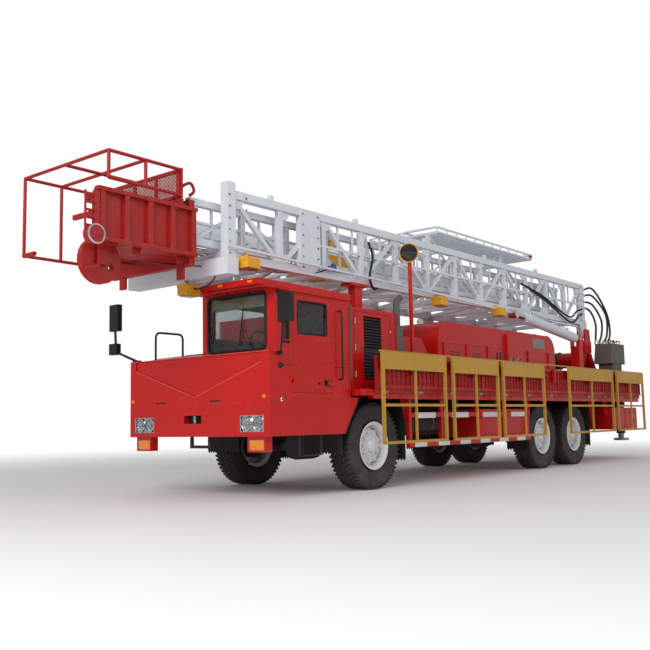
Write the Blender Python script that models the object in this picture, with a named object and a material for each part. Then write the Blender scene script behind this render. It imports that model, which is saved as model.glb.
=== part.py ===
"""Workover rig on a three-axle carrier: a half-cab carrier with a telescoping mast lying over it.

Metres. The vehicle faces -Y, its left side is +X and +Z is up. Inside this file every y is the distance behind
the front bumper; the empty called carrier moves the whole vehicle,
so that its box is centred on the origin.
"""

from math import cos, hypot, pi, radians, sin

import bmesh
import bpy
from mathutils import Matrix, Vector

# ---- Overall sizes -----------------------------------------------------------------------------------
BODY_WIDTH = 2.50
GUARD_FRONT = -1.90          # the crown guard's front rail
HEAD_FRONT = -2.14           # the foremost point, on the crown's rope rollers
FRAME_REAR = 11.83           # the rear end of the chassis
FIT = 0.0003                 # gap between faces that touch
RUN = 0.0005                 # gap between faces that slide or turn on each other
CLEAR = 0.005                # gap round a moving piece

# ---- Wheels and axles --------------------------------------------------------------------------------
AXLES = {"front": 2.05, "rear_1": 7.10, "rear_2": 8.46}
TYRE_R = 0.572
TYRE_W = 0.34
TYRE_SIDES = 24
WHEEL_X = 1.06               # the middle of a tyre
WHEEL_Z = TYRE_R * cos(pi / TYRE_SIDES)   # a tyre stands on one of its flats
RIM_R = 0.300
RIM_WALL = 0.022
WEB_IN = 0.06                # the web's inner face, outboard of the tyre's middle
WEB_THICK = 0.02
HUB_R = 0.11
HUB_OUT = 0.15
KINGPIN_X = 0.98
KINGPIN_R = 0.04
KINGPIN_HALF = 0.13
BRAKE_R = 0.17
BRAKE_IN = WHEEL_X - 0.005   # the brake drum's inner face, clear of the axle's yoke at full lock

# ---- Chassis and deck --------------------------------------------------------------------------------
RAIL_X = 0.43
RAIL_W = 0.10
RAIL_Z = (0.78, 1.08)
DECK_Z = (1.22, 1.30)
DECK_X = 1.38
DECK_FRONT = 1.57
EDGE_Z = 1.18                # underside of the deck's edge beams
JACK_X = 0.92
JACK_Y = FRAME_REAR - 0.17
JACK_R = 0.075
JACK_WALL = 0.012
JACK_COLLAR = 0.02           # the sleeve's wall outside the jack's own radius
DECK_REAR = JACK_Y - JACK_R - JACK_COLLAR - CLEAR
JACK_PAD_Z = 0.36
JACK_PAD_THICK = 0.05
JACK_STROKE = 0.28

# ---- Nose and cab ------------------------------------------------------------------------------------
BUMPER_Z = (0.74, 1.137)
BUMPER_DEEP = 0.34
NOSE_TOP = 1.72
NOSE_DEEP = 0.12
CAB_X = (0.02, BODY_WIDTH / 2)
CAB_REAR = 1.53
CAB_FLOOR = 1.19
CAB_TOP = 2.47
ROOF_THICK = 0.08
ROOF_FRONT = -0.16
CAB_WALL = 0.05
ARCH_BOTTOM = 1.40           # the wheel arch's slanted front edge, at the skirt's lower and upper edge
ARCH_TOP = 1.70
DOOR_Y = (0.42, 1.16)
DOOR_Z = (1.24, 2.42)
DOOR_THICK = 0.058
DOOR_WINDOW_Y = (0.51, 1.07)
DOOR_WINDOW_Z = (1.95, 2.35)
SCREEN_X = (0.12, 1.10)
SCREEN_Z = (1.76, 2.44)
GLASS = 0.008
MIRROR_OUT = BODY_WIDTH / 2 + 0.37
HINGE_OUT = 0.020            # a door hinge's axis stands this far outside the skin
HINGE_R = 0.012
HINGE_Z = (1.40, 2.20)

# ---- Machinery on the deck ---------------------------------------------------------------------------
ENGINE_HOUSE_Y = (1.58, 2.66)
ENGINE_HOUSE_X = 1.20
ENGINE_HOUSE_TOP = 2.38
SHEET = 0.03
GEAR_HOUSE_Y = (2.80, 3.95)
GEAR_HOUSE_X = 0.90
GEAR_HOUSE_TOP = 2.12
DRUM_HOUSE_Y = (4.15, 8.37)
DRUM_HOUSE_X = 0.95
DRUM_HOUSE_TOP = 2.42
DRUM_HOUSE_ROUND = 0.30
LOCKER_Y = (10.05, 11.45)
LOCKER_X = (0.60, 1.36)
LOCKER_BOTTOM = 0.62
GUARD_Y = (2.72, 6.40)
GUARD_X = (1.27, 1.33)

# ---- Mast --------------------------------------------------------------------------------------------
MAST_HALF = 0.80
MAST_Z = (2.84, 3.60)        # the lower section's chords
MAST_Y = (-0.20, 10.14)
CHORD = 0.10
MAST_BAYS = 12
UPPER_HALF = 0.62
UPPER_Z = (3.00, 3.46)
UPPER_Y = (-0.66, 9.30)
UPPER_CHORD = 0.08
UPPER_BAYS = 12
PIVOT = (10.15, 2.62)        # y and z of the mast's foot pin
PIVOT_R = 0.05
CYLINDER_X = MAST_HALF + 0.18   # the raising cylinders stand outside the mast
CYLINDER_BASE = (9.35, 2.45)
CYLINDER_EYE = (6.70, 2.74)
CYLINDER_R = 0.095
TRUNNION_R = 0.035
CHEEK_GAP = 0.07             # from the cylinder's middle to each cheek of its bracket
CHEEK_HALF = 0.07            # half a cheek's width
CHEEK_RISE = 0.06            # how far a cheek stands above the trunnion's axis
ROD_R = 0.055
EYE_X = (CYLINDER_X - 0.09, CYLINDER_X + 0.06)
BOARD_Y = (4.50, 7.92)
BOARD_X = (0.12, 0.80)
BOARD_Z = 3.93
BOARD_LOW = BOARD_Z - 0.05      # the board's underside, where its hinge is
BOARD_PIN_R = 0.012
BOARD_HINGE_Y = BOARD_Y[0] - 0.004
BOARD_REST_Y = 6.90

# ---- Crown -------------------------------------------------------------------------------------------
LINE_FRAME_X = 0.74          # the outer face of the line frame
CHEEK_X = 0.31
SHEAVE_Y = -1.00
SHEAVE_Z = 3.09
SHEAVE_R = 0.24
SHAFT_R = 0.06
CROWN_Y = (-2.00, UPPER_Y[0] - FIT)
CROWN_Z = (2.80, 3.32)
CROWN_PLATE = 0.05
GUARD_Z = (2.84, 3.76)
GUARD_DECK_Y = -0.90
GUARD_HALF = 0.80
GUARD_TUBE = 0.022           # half a tube's width
GUARD_LEFT_LOW = 3.45        # the lower rail on the left side
BEAM_WEB = 0.024
BEAM_FLANGE = 0.06

# ---- Walkways ----------------------------------------------------------------------------------------
WALK_Y = (1.84, 11.53)
WALK_PIN = (1.40, 1.27)      # x and z of the deck hinge
WALK_PIN_R = 0.02
WALK_TOP = 1.73
WALK_PANEL_X = (1.40, 1.445)
HAND_PIN = (1.473, 1.80)     # x and z of the handrail's hinge
HAND_PIN_R = 0.012
HAND_X = (1.487, 1.527)
HAND_LOW = 0.587
TOE_Z = (1.56, 1.79)
HAND_SPANS = ((1.86, 3.42), (3.61, 4.99), (5.14, 6.64), (7.66, 9.78), (10.00, 11.51))
POST = 0.04

CENTRE = (FRAME_REAR + HEAD_FRONT) / 2


# ---- Shapes: each function gives a closed bmesh in the vehicle's frame -------------------------------
def box(x, y, z):
    low = Vector((min(x), min(y), min(z)))
    high = Vector((max(x), max(y), max(z)))
    shape = bmesh.new()
    size = Matrix.Diagonal((*(high - low), 1))
    bmesh.ops.create_cube(shape, size=1, matrix=Matrix.Translation((low + high) / 2) @ size)
    return shape


def aim(start, end):
    """A frame with its middle halfway between two points and its +Z towards the second one."""
    start, end = Vector(start), Vector(end)
    turn = (end - start).to_track_quat("Z", "Y").to_matrix().to_4x4()
    return Matrix.Translation((start + end) / 2) @ turn, (end - start).length


def rod(start, end, radius, sides=12, radius_end=None):
    frame, length = aim(start, end)
    shape = bmesh.new()
    second = radius if radius_end is None else radius_end
    bmesh.ops.create_cone(
        shape, cap_ends=True, segments=sides, radius1=radius, radius2=second, depth=length, matrix=frame
    )
    return shape


def bar(start, end, width, depth, across=(1, 0, 0)):
    """A rectangular bar; width is measured along the direction called across."""
    start, end = Vector(start), Vector(end)
    along = (end - start).normalized()
    side = Vector(across)
    side = (side - along * side.dot(along)).normalized()
    turn = Matrix((side, along.cross(side), along)).transposed().to_4x4()
    size = Matrix.Diagonal((width, depth, (end - start).length, 1))
    shape = bmesh.new()
    bmesh.ops.create_cube(shape, size=1, matrix=Matrix.Translation((start + end) / 2) @ turn @ size)
    return shape


def plate(outline, low, high, axis="X"):
    """A flat outline extruded along an axis. The outline's two numbers are the other two axes, in XYZ order."""
    place = {
        "X": lambda a, b, c: (c, a, b),
        "Y": lambda a, b, c: (a, c, b),
        "Z": lambda a, b, c: (a, b, c),
    }[axis]
    shape = bmesh.new()
    ends = [[shape.verts.new(place(a, b, level)) for a, b in outline] for level in (low, high)]
    shape.faces.new(ends[0])
    shape.faces.new(ends[1][::-1])
    count = len(outline)
    for i in range(count):
        j = (i + 1) % count
        shape.faces.new((ends[0][j], ends[0][i], ends[1][i], ends[1][j]))
    bmesh.ops.recalc_face_normals(shape, faces=shape.faces[:])
    return shape


def turned(profile, centre, sides, ring=False):
    """A profile of (radius, x) points turned about the X axis through a centre, with a flat at its bottom."""
    shape = bmesh.new()
    centre = Vector(centre)
    rows = []
    for radius, x in profile:
        if radius == 0:
            rows.append([shape.verts.new(centre + Vector((x, 0, 0)))])
            continue
        angles = [2 * pi * (step + 0.5) / sides for step in range(sides)]
        rows.append([shape.verts.new(centre + Vector((x, radius * sin(a),
                                                      -radius * cos(a)))) for a in angles])
    pairs = list(zip(rows, rows[1:]))
    if ring:
        pairs.append((rows[-1], rows[0]))
    for first, second in pairs:
        for step in range(sides):
            after = (step + 1) % sides
            corners = [first[step % len(first)], first[after % len(first)]]
            corners += [second[after % len(second)], second[step % len(second)]]
            shape.faces.new(list(dict.fromkeys(corners)))
    bmesh.ops.recalc_face_normals(shape, faces=shape.faces[:])
    return shape


def bent_tube(points, radius, sides=2):
    """A round tube through a few points, made as a bevelled curve."""
    curve = bpy.data.curves.new("route", "CURVE")
    curve.dimensions = "3D"
    spline = curve.splines.new("POLY")
    spline.points.add(len(points) - 1)
    for knot, point in zip(spline.points, points):
        knot.co = (*point, 1)
    curve.bevel_depth = radius
    curve.bevel_resolution = sides
    curve.use_fill_caps = True
    guide = bpy.data.objects.new("route", curve)
    mesh = bpy.data.meshes.new_from_object(guide)
    shape = bmesh.new()
    shape.from_mesh(mesh)
    bpy.data.objects.remove(guide)
    bpy.data.curves.remove(curve)
    bpy.data.meshes.remove(mesh)
    bmesh.ops.remove_doubles(shape, verts=shape.verts[:], dist=0.00001)
    bmesh.ops.recalc_face_normals(shape, faces=shape.faces[:])
    return shape


def mirrored(shape):
    """A copy of a shape on the other side of the vehicle."""
    copy = shape.copy()
    bmesh.ops.scale(copy, vec=(-1, 1, 1), verts=copy.verts[:])
    bmesh.ops.reverse_faces(copy, faces=copy.faces[:])
    return copy


def both(shapes):
    return shapes + [mirrored(shape) for shape in shapes]


# ---- Bodies, materials and nodes ---------------------------------------------------------------------
BODIES = {}


def body(name, pivot, parent=None):
    """An empty on a joint's axis. Everything that moves with the joint is its child."""
    empty = bpy.data.objects.new(name, None)
    bpy.context.scene.collection.objects.link(empty)
    pivot = Vector(pivot)
    if parent:
        empty.parent = BODIES[parent][0]
        empty.location = pivot - BODIES[parent][1]
    else:
        empty.location = pivot - Vector((0, CENTRE, 0))
    BODIES[name] = (empty, pivot)


COLOURS = {
    "red": ((0.60, 0.03, 0.02), 0.35, 0.0),
    "dark_red": ((0.33, 0.02, 0.02), 0.5, 0.0),
    "white": ((0.80, 0.81, 0.83), 0.4, 0.0),
    "yellow": ((0.55, 0.36, 0.04), 0.5, 0.0),
    "black": ((0.02, 0.02, 0.02), 0.6, 0.0),
    "rubber": ((0.025, 0.025, 0.025), 0.85, 0.0),
    "steel": ((0.45, 0.45, 0.47), 0.4, 0.8),
    "chrome": ((0.75, 0.75, 0.77), 0.15, 1.0),
    "glass": ((0.10, 0.12, 0.13), 0.05, 0.0),
    "grey": ((0.25, 0.24, 0.22), 0.6, 0.0),
}


def material(name):
    made = bpy.data.materials.get(name)
    if made:
        return made
    colour, roughness, metallic = COLOURS[name]
    made = bpy.data.materials.new(name)
    made.use_nodes = True
    shader = made.node_tree.nodes["Principled BSDF"]
    shader.inputs["Base Color"].default_value = (*colour, 1)
    shader.inputs["Roughness"].default_value = roughness
    shader.inputs["Metallic"].default_value = metallic
    return made


def single_object(name, shape):
    mesh = bpy.data.meshes.new(name)
    bmesh.ops.triangulate(shape, faces=[face for face in shape.faces if len(face.verts) > 4])
    shape.to_mesh(mesh)
    shape.free()
    made = bpy.data.objects.new(name, mesh)
    bpy.context.scene.collection.objects.link(made)
    return made


def boolean(target, shapes, operation, solver="EXACT"):
    """Joins shapes to an object, or cuts them from it, and keeps the result as its mesh."""
    helpers = bpy.data.collections.new("helpers")
    bpy.context.scene.collection.children.link(helpers)
    for shape in shapes:
        helper = single_object("helper", shape)
        bpy.context.scene.collection.objects.unlink(helper)
        helpers.objects.link(helper)
    change = target.modifiers.new(operation.lower(), "BOOLEAN")
    change.operation = operation
    change.operand_type = "COLLECTION"
    change.collection = helpers
    change.solver = solver
    bpy.context.view_layer.update()
    graph = bpy.context.evaluated_depsgraph_get()
    result = bpy.data.meshes.new_from_object(target.evaluated_get(graph))
    target.modifiers.clear()
    old = target.data
    target.data = result
    bpy.data.meshes.remove(old)
    for helper in list(helpers.objects):
        bpy.data.objects.remove(helper)
    bpy.data.collections.remove(helpers)


def node(name, owner, colour, shapes, cuts=(), solver="EXACT"):
    """One named solid: the union of its shapes less its cuts, as a child of the body that carries it."""
    made = single_object(name, shapes[0])
    if len(shapes) > 1:
        boolean(made, shapes[1:], "UNION", solver)
    if cuts:
        boolean(made, cuts, "DIFFERENCE", solver)
    empty, pivot = BODIES[owner]
    made.data.transform(Matrix.Translation(-pivot))
    made.parent = empty
    made.data.name = name
    made.data.materials.clear()
    made.data.materials.append(material(colour))
    made.data.shade_smooth()
    made.data.set_sharp_from_angle(angle=radians(35))
    return made


# ---- Wheels, axles and chassis -----------------------------------------------------------------------
def tyre_profile():
    half = TYRE_W / 2
    bead = RIM_R + RUN
    return [
        (bead, -half + 0.012), (bead + 0.10, -half), (TYRE_R - 0.045, -half + 0.006),
        (TYRE_R, -half + 0.045),
        (TYRE_R, half - 0.045), (TYRE_R - 0.045, half - 0.006), (bead + 0.10, half), (bead, half - 0.012),
    ]


def rim_profile():
    edge = TYRE_W / 2 + 0.005
    inner = RIM_R - RIM_WALL
    return [
        (0, WEB_IN), (inner, WEB_IN), (inner, -edge), (RIM_R, -edge), (RIM_R, edge), (inner, edge),
        (inner + 0.001, WEB_IN + WEB_THICK), (HUB_R, WEB_IN + WEB_THICK), (HUB_R, HUB_OUT), (0, HUB_OUT),
    ]


def make_wheels():
    for place, y in AXLES.items():
        for side, sign in (("left", 1), ("right", -1)):
            centre = (sign * WHEEL_X, y, WHEEL_Z)
            carried_by = f"steering_{side}" if place == "front" else "carrier"
            if place == "front":
                body(carried_by, (sign * KINGPIN_X, y, WHEEL_Z), "carrier")
            name = f"{place}_wheel_{side}"
            body(name, centre, carried_by)
            tyre = turned([(r, sign * x) for r, x in tyre_profile()], centre, TYRE_SIDES, ring=True)
            rim = turned([(r, sign * x) for r, x in rim_profile()], centre, TYRE_SIDES)
            node(f"{place}_tyre_{side}", name, "rubber", [tyre])
            node(f"{place}_rim_{side}", name, "white", [rim])


def make_axles():
    stub_end = WHEEL_X + WEB_IN - RUN
    for place, y in AXLES.items():
        low, high = WHEEL_Z - 0.09, WHEEL_Z + 0.09
        beam_end = KINGPIN_X - 0.10 if place == "front" else stub_end
        shapes = [
            rod((-beam_end, y, WHEEL_Z), (beam_end, y, WHEEL_Z), 0.075, 12),
            rod((0, y - 0.20, WHEEL_Z), (0, y + 0.20, WHEEL_Z), 0.19, 12),
        ]
        spring_top = RAIL_Z[0] - FIT
        for sign in (1, -1):
            x = sign * (RAIL_X + 0.01)
            spring = [(y - 0.50, spring_top), (y - 0.50, high + 0.01), (y - 0.12, low + 0.02),
                      (y + 0.12, low + 0.02),
                      (y + 0.50, high + 0.01), (y + 0.50, spring_top), (y + 0.44, spring_top),
                      (y + 0.40, high + 0.06),
                      (y - 0.40, high + 0.06), (y - 0.44, spring_top)]
            shapes.append(plate(spring, x - 0.045, x + 0.045))
        if place == "front":
            for sign in (1, -1):
                root = sign * (KINGPIN_X - 0.13)
                tip = sign * (KINGPIN_X + 0.05)
                shapes.append(box((root, root + sign * 0.05), (y - 0.03, y + 0.03),
                                  (WHEEL_Z - 0.185, WHEEL_Z + 0.185)))
                for arm in (1, -1):
                    near = WHEEL_Z + arm * (KINGPIN_HALF + FIT)
                    shapes.append(box((root + sign * 0.01, tip), (y - 0.045, y + 0.045),
                                      (near, near + arm * 0.05)))
        else:
            for sign in (1, -1):
                x = sign * (WHEEL_X - 0.06)
                shapes.append(rod((x - 0.10, y, WHEEL_Z), (x + 0.10, y, WHEEL_Z), 0.17, 12))
        node(f"{place}_axle", "carrier", "black", shapes)


def make_knuckles():
    y = AXLES["front"]
    for side, sign in (("left", 1), ("right", -1)):
        x = sign * KINGPIN_X
        face = sign * (WHEEL_X + WEB_IN - RUN)
        shapes = [
            rod((x, y, WHEEL_Z - KINGPIN_HALF), (x, y, WHEEL_Z + KINGPIN_HALF), KINGPIN_R, 16),
            rod((x, y, WHEEL_Z), (face, y, WHEEL_Z), 0.07, 16),
            rod((sign * BRAKE_IN, y, WHEEL_Z), (face - sign * 0.001, y, WHEEL_Z), BRAKE_R, 20),
            bar((x + sign * 0.08, y + 0.05, WHEEL_Z - 0.09), (x - sign * 0.18, y + 0.24, WHEEL_Z - 0.09),
                0.05, 0.03, (0, 1, 0)),
        ]
        node(f"steering_knuckle_{side}", f"steering_{side}", "black", shapes)


def make_chassis():
    rails = [box((RAIL_X, RAIL_X + RAIL_W), (BUMPER_DEEP + FIT, FRAME_REAR), RAIL_Z)]
    shapes = both(rails)
    inner = RAIL_X + RAIL_W / 2
    low, high = RAIL_Z
    for y in (0.90, 2.90, 4.10, 5.30, 6.40, 7.78, 9.15, 10.40):
        shapes.append(box((-inner, inner), (y - 0.05, y + 0.05), (low + 0.03, high - 0.03)))
    for y in (2.90, 4.10, 5.30, 6.30, 9.35, 10.70):
        shapes.append(box((-DECK_X + 0.10, DECK_X - 0.10), (y - 0.04, y + 0.04),
                          (high - 0.02, DECK_Z[0] - FIT)))
    jack_top = DECK_Z[1] + 0.02
    pad_top = JACK_PAD_Z + JACK_PAD_THICK
    beam = box((-JACK_X - 0.02, JACK_X + 0.02), (JACK_Y - 0.06, FRAME_REAR - 0.001),
               (low + 0.05, high - 0.05))
    tubes = [rod((JACK_X, JACK_Y, pad_top + 0.10), (JACK_X, JACK_Y, jack_top), JACK_R + JACK_COLLAR, 12)]
    bores = [rod((JACK_X, JACK_Y, pad_top), (JACK_X, JACK_Y, jack_top - 0.03), JACK_R - JACK_WALL, 12)]
    shapes += [beam] + both(tubes)
    hitch = box((-0.20, 0.20), (FRAME_REAR - 0.02, FRAME_REAR + 0.0), (low - 0.06, high))
    node("chassis_frame", "carrier", "black", shapes + [hitch], cuts=both(bores))


def make_jacks():
    for side, sign in (("left", 1), ("right", -1)):
        x = sign * JACK_X
        body(f"jack_{side}", (x, JACK_Y, JACK_PAD_Z), "carrier")
        leg_r = JACK_R - JACK_WALL - RUN
        shapes = [
            rod((x, JACK_Y, JACK_PAD_Z + 0.01), (x, JACK_Y, DECK_Z[1] - 0.02), leg_r, 12),
            rod((x, JACK_Y, JACK_PAD_Z), (x, JACK_Y, JACK_PAD_Z + JACK_PAD_THICK), 0.16, 16),
        ]
        node(f"jack_leg_{side}", f"jack_{side}", "steel", shapes)


# ---- Nose and cab ------------------------------------------------------------------------------------
LAMP_X = (0.77, 1.16)
LAMP_Z = (0.79, 0.99)
LAMP_DEEP = 0.06
FOG_X = (0.87, 1.15)
FOG_Z = (0.56, 0.72)


def make_bumper():
    half = BODY_WIDTH / 2
    shapes = [box((-half, half), (0, BUMPER_DEEP), BUMPER_Z)]
    frame = 0.02
    for sign in (1, -1):
        fog_x = [sign * value for value in FOG_X]
        shapes.append(box(fog_x, (0.03, 0.15), (FOG_Z[0], BUMPER_Z[0] + 0.01)))
    hoop_x, hoop_low = 0.16, 0.60
    hoop_y = 0.10
    for sign in (1, -1):
        shapes.append(bar((sign * hoop_x, hoop_y, BUMPER_Z[0] + 0.01), (sign * hoop_x, hoop_y, hoop_low),
                          0.03, 0.03))
    shapes.append(box((-hoop_x - 0.015, hoop_x + 0.015), (hoop_y - 0.016, hoop_y + 0.016),
                      (hoop_low, hoop_low + 0.03)))
    cuts = [box([sign * value for value in LAMP_X], (-0.01, LAMP_DEEP), LAMP_Z) for sign in (1, -1)]
    cuts.append(box((-0.20, 0.12), (-0.01, 0.09), (0.90, 1.00)))
    for sign in (1, -1):
        inset = (FOG_X[0] + frame, FOG_X[1] - frame)
        cuts.append(box([sign * v for v in inset], (0.0, 0.10), (FOG_Z[0] + frame, FOG_Z[1] - frame)))
    cuts.append(box((-half + 0.05, half - 0.05), (0.12 + 0.05, BUMPER_DEEP + 0.01),
                    (BUMPER_Z[0] + 0.05, BUMPER_Z[1] - 0.05)))
    node("bumper", "carrier", "red", shapes, cuts)
    for side, sign in (("left", 1), ("right", -1)):
        low, high = LAMP_X[0] + FIT, LAMP_X[1] - FIT
        lamp = box((sign * low, sign * high), (0.012, LAMP_DEEP - FIT), (LAMP_Z[0] + FIT, LAMP_Z[1] - FIT))
        middle = sign * (low + high) / 2
        lenses = [
            rod((middle + step, 0.0, sum(LAMP_Z) / 2), (middle + step, 0.03, sum(LAMP_Z) / 2), 0.075, 16)
            for step in (-0.095, 0.095)
        ]
        node(f"headlamp_{side}", "carrier", "chrome", [lamp] + lenses)


def make_nose():
    half = BODY_WIDTH / 2
    z = BUMPER_Z[1] + FIT
    panel = box((-half, half), (0, NOSE_DEEP - FIT), (z, NOSE_TOP))
    hood_x = (-half, CAB_X[0] - FIT)
    hood_profile = [(NOSE_DEEP, CAB_FLOOR), (CAB_REAR, CAB_FLOOR), (CAB_REAR, 1.93), (0.50, 1.80),
                    (NOSE_DEEP, NOSE_TOP)]
    skirt = skirt_profile()
    crease = [(-1.14, NOSE_TOP + 0.1), (-1.14, 1.60), (0, 1.22), (1.14, 1.60), (1.14, NOSE_TOP + 0.1)]
    node("nose_panel", "carrier", "red", [panel], [plate(crease, -0.01, 0.018, "Y")])
    body_cut = [(NOSE_DEEP + 0.04, CAB_FLOOR - 0.1), (CAB_REAR - 0.04, CAB_FLOOR - 0.1),
                (CAB_REAR - 0.04, 1.88),
                (0.51, 1.76), (NOSE_DEEP + 0.04, NOSE_TOP - 0.05)]
    node(
        "hood", "carrier", "red",
        [plate(hood_profile, hood_x[0], hood_x[1]), plate(skirt, hood_x[0], -RAIL_X - RAIL_W - 0.03)],
        [plate(body_cut, hood_x[0] + 0.04, hood_x[1] - 0.04), skirt_hollow(-1)],
    )


def skirt_profile():
    y = BUMPER_DEEP + FIT
    return [(y, BUMPER_Z[0]), (ARCH_BOTTOM, BUMPER_Z[0]), (ARCH_TOP, CAB_FLOOR),
            (ARCH_TOP, CAB_FLOOR + 0.005),
            (y, CAB_FLOOR + 0.005)]


def skirt_hollow(sign):
    y = BUMPER_DEEP + 0.06
    hollow = [(y, BUMPER_Z[0] - 0.05), (ARCH_BOTTOM - 0.10, BUMPER_Z[0] - 0.05),
              (ARCH_TOP - 0.09, CAB_FLOOR - 0.04),
              (y, CAB_FLOOR - 0.04)]
    inner = RAIL_X + RAIL_W + 0.08
    return plate(hollow, sign * inner, sign * (BODY_WIDTH / 2 - 0.05))


def make_cab():
    x0, x1 = CAB_X
    front = NOSE_DEEP
    shapes = [
        box(CAB_X, (front, CAB_REAR), (CAB_FLOOR, CAB_TOP)),
        plate([(ROOF_FRONT, CAB_TOP + 0.01), (CAB_REAR + 0.02, CAB_TOP - 0.03),
               (CAB_REAR + 0.02, CAB_TOP + ROOF_THICK - 0.03),
               (ROOF_FRONT, CAB_TOP + ROOF_THICK)], x0 - 0.01, x1 + 0.015),
        plate(skirt_profile(), RAIL_X + RAIL_W + 0.03, x1),
    ]
    for height in HINGE_Z:
        top = height + 0.05
        hinge_y = DOOR_Y[0] + CLEAR
        shapes.append(rod((x1 + HINGE_OUT, hinge_y, height + FIT), (x1 + HINGE_OUT, hinge_y, top), HINGE_R,
                          8))
        shapes.append(box((x1 - 0.01, x1 + HINGE_OUT), (hinge_y - 0.06, hinge_y - 0.006),
                          (height + 0.005, top - 0.005)))
    wall = CAB_WALL
    cuts = [
        box((x0 + wall, x1 - DOOR_THICK), (front + wall, CAB_REAR - wall),
            (CAB_FLOOR + 0.07, CAB_TOP - 0.05)),
        box(SCREEN_X, (front - 0.05, front + wall + 0.05), SCREEN_Z),
        box((x1 - DOOR_THICK - 0.05, x1 + 0.05), DOOR_Y, DOOR_Z),
        plate([(0.235, 1.82), (0.37, 1.82), (0.37, 2.40), (0.235, 2.40)], x1 - DOOR_THICK - 0.05,
              x1 + 0.05),
        box((x0 - 0.05, x0 + wall + 0.05), (0.30, 1.25), (1.95, 2.38)),
        box((x0 + 0.25, x1 - 0.25), (CAB_REAR - wall - 0.05, CAB_REAR + 0.05), (1.95, 2.36)),
        skirt_hollow(1),
    ]
    node("cab_shell", "carrier", "red", shapes, cuts)
    gap = FIT
    y = front + 0.012
    node("windscreen", "carrier", "glass",
         [box((SCREEN_X[0] + gap, SCREEN_X[1] - gap), (y, y + GLASS),
              (SCREEN_Z[0] + gap, SCREEN_Z[1] - gap))])


def make_door():
    x1 = CAB_X[1]
    body("cab_door", (x1 + HINGE_OUT, DOOR_Y[0] + CLEAR, 1.80), "carrier")
    y = (DOOR_Y[0] + CLEAR, DOOR_Y[1] - CLEAR)
    z = (DOOR_Z[0] + CLEAR, DOOR_Z[1] - CLEAR)
    shapes = [box((x1 - DOOR_THICK + CLEAR, x1), y, z)]
    for height in HINGE_Z:
        shapes.append(rod((x1 + HINGE_OUT, y[0], height - 0.05), (x1 + HINGE_OUT, y[0], height), HINGE_R,
                          8))
        shapes.append(box((x1 - 0.01, x1 + HINGE_OUT), (y[0] + 0.001, y[0] + 0.03),
                          (height - 0.045, height - 0.005)))
    shapes.append(box((x1 - 0.005, x1 + 0.03), (1.04, 1.12), (1.34, 1.39)))
    node("cab_door_left", "cab_door", "red", shapes,
         [box((x1 - 0.2, x1 + 0.2), DOOR_WINDOW_Y, DOOR_WINDOW_Z)])
    gap = FIT
    node("door_glass", "cab_door", "glass",
         [box((x1 - 0.03, x1 - 0.03 + GLASS), (DOOR_WINDOW_Y[0] + gap, DOOR_WINDOW_Y[1] - gap),
              (DOOR_WINDOW_Z[0] + gap, DOOR_WINDOW_Z[1] - gap))])


def make_cab_inside():
    floor = CAB_FLOOR + 0.07 + FIT
    x = 0.66
    node("driver_seat", "carrier", "grey", [
        box((x - 0.15, x + 0.15), (0.85, 1.15), (floor, floor + 0.30)),
        box((x - 0.26, x + 0.26), (0.75, 1.25), (floor + 0.28, floor + 0.42)),
        bar((x, 1.22, floor + 0.36), (x, 1.36, floor + 0.98), 0.48, 0.11),
    ])
    front = NOSE_DEEP + CAB_WALL + FIT
    node("dashboard", "carrier", "black", [
        box((CAB_X[0] + CAB_WALL + FIT, CAB_X[1] - DOOR_THICK - FIT), (front, 0.40), (1.45, 1.75)),
        bar((x, 0.36, 1.65), (x, 0.58, 1.86), 0.06, 0.06),
        rod((x, 0.572, 1.855), (x, 0.594, 1.876), 0.22, 20),
    ])


def make_mirrors():
    x1 = CAB_X[1]
    left = [
        bent_tube([(x1 + 0.03, 0.17, 1.70), (x1 + 0.17, 0.03, 1.76), (x1 + 0.23, 0.03, 2.38),
                   (x1 + 0.035, 0.17, 2.42)], 0.012, 1),
        box((x1 + FIT, x1 + 0.04), (0.14, 0.20), (1.68, 1.72)),
        box((x1 + FIT, x1 + 0.04), (0.14, 0.20), (2.40, 2.44)),
        box((MIRROR_OUT - 0.18, MIRROR_OUT), (-0.05, 0.035), (2.03, 2.36)),
    ]
    node("mirror_left", "carrier", "black", left)
    x0 = -BODY_WIDTH / 2
    arm = [(x0 + 0.05, 0.06, NOSE_TOP + 0.02), (x0 - 0.07, 0.0, 1.80), (x0 - 0.25, -0.05, 1.88),
           (x0 - 0.29, -0.05, 2.45)]
    right = [
        bent_tube(arm, 0.018, 1),
        box((x0 + 0.01, x0 + 0.10), (0.02, 0.10), (NOSE_TOP + FIT, NOSE_TOP + 0.03)),
        box((-MIRROR_OUT, -MIRROR_OUT + 0.18), (-0.075, 0.0), (2.16, 2.52)),
        box((-MIRROR_OUT + 0.01, -MIRROR_OUT + 0.17), (-0.085, -0.01), (1.84, 1.99)),
    ]
    node("mirror_right", "carrier", "black", right)


# ---- Deck and machinery ------------------------------------------------------------------------------
def make_deck():
    shapes = [box((-DECK_X + FIT, DECK_X - FIT), (DECK_FRONT, DECK_REAR), DECK_Z)]
    shapes += both([box((DECK_X - 0.08, DECK_X - 0.001), (WALK_Y[0], DECK_REAR - 0.001),
                        (EDGE_Z, DECK_Z[0] + 0.02))])
    node("deck", "carrier", "red", shapes)


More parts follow.
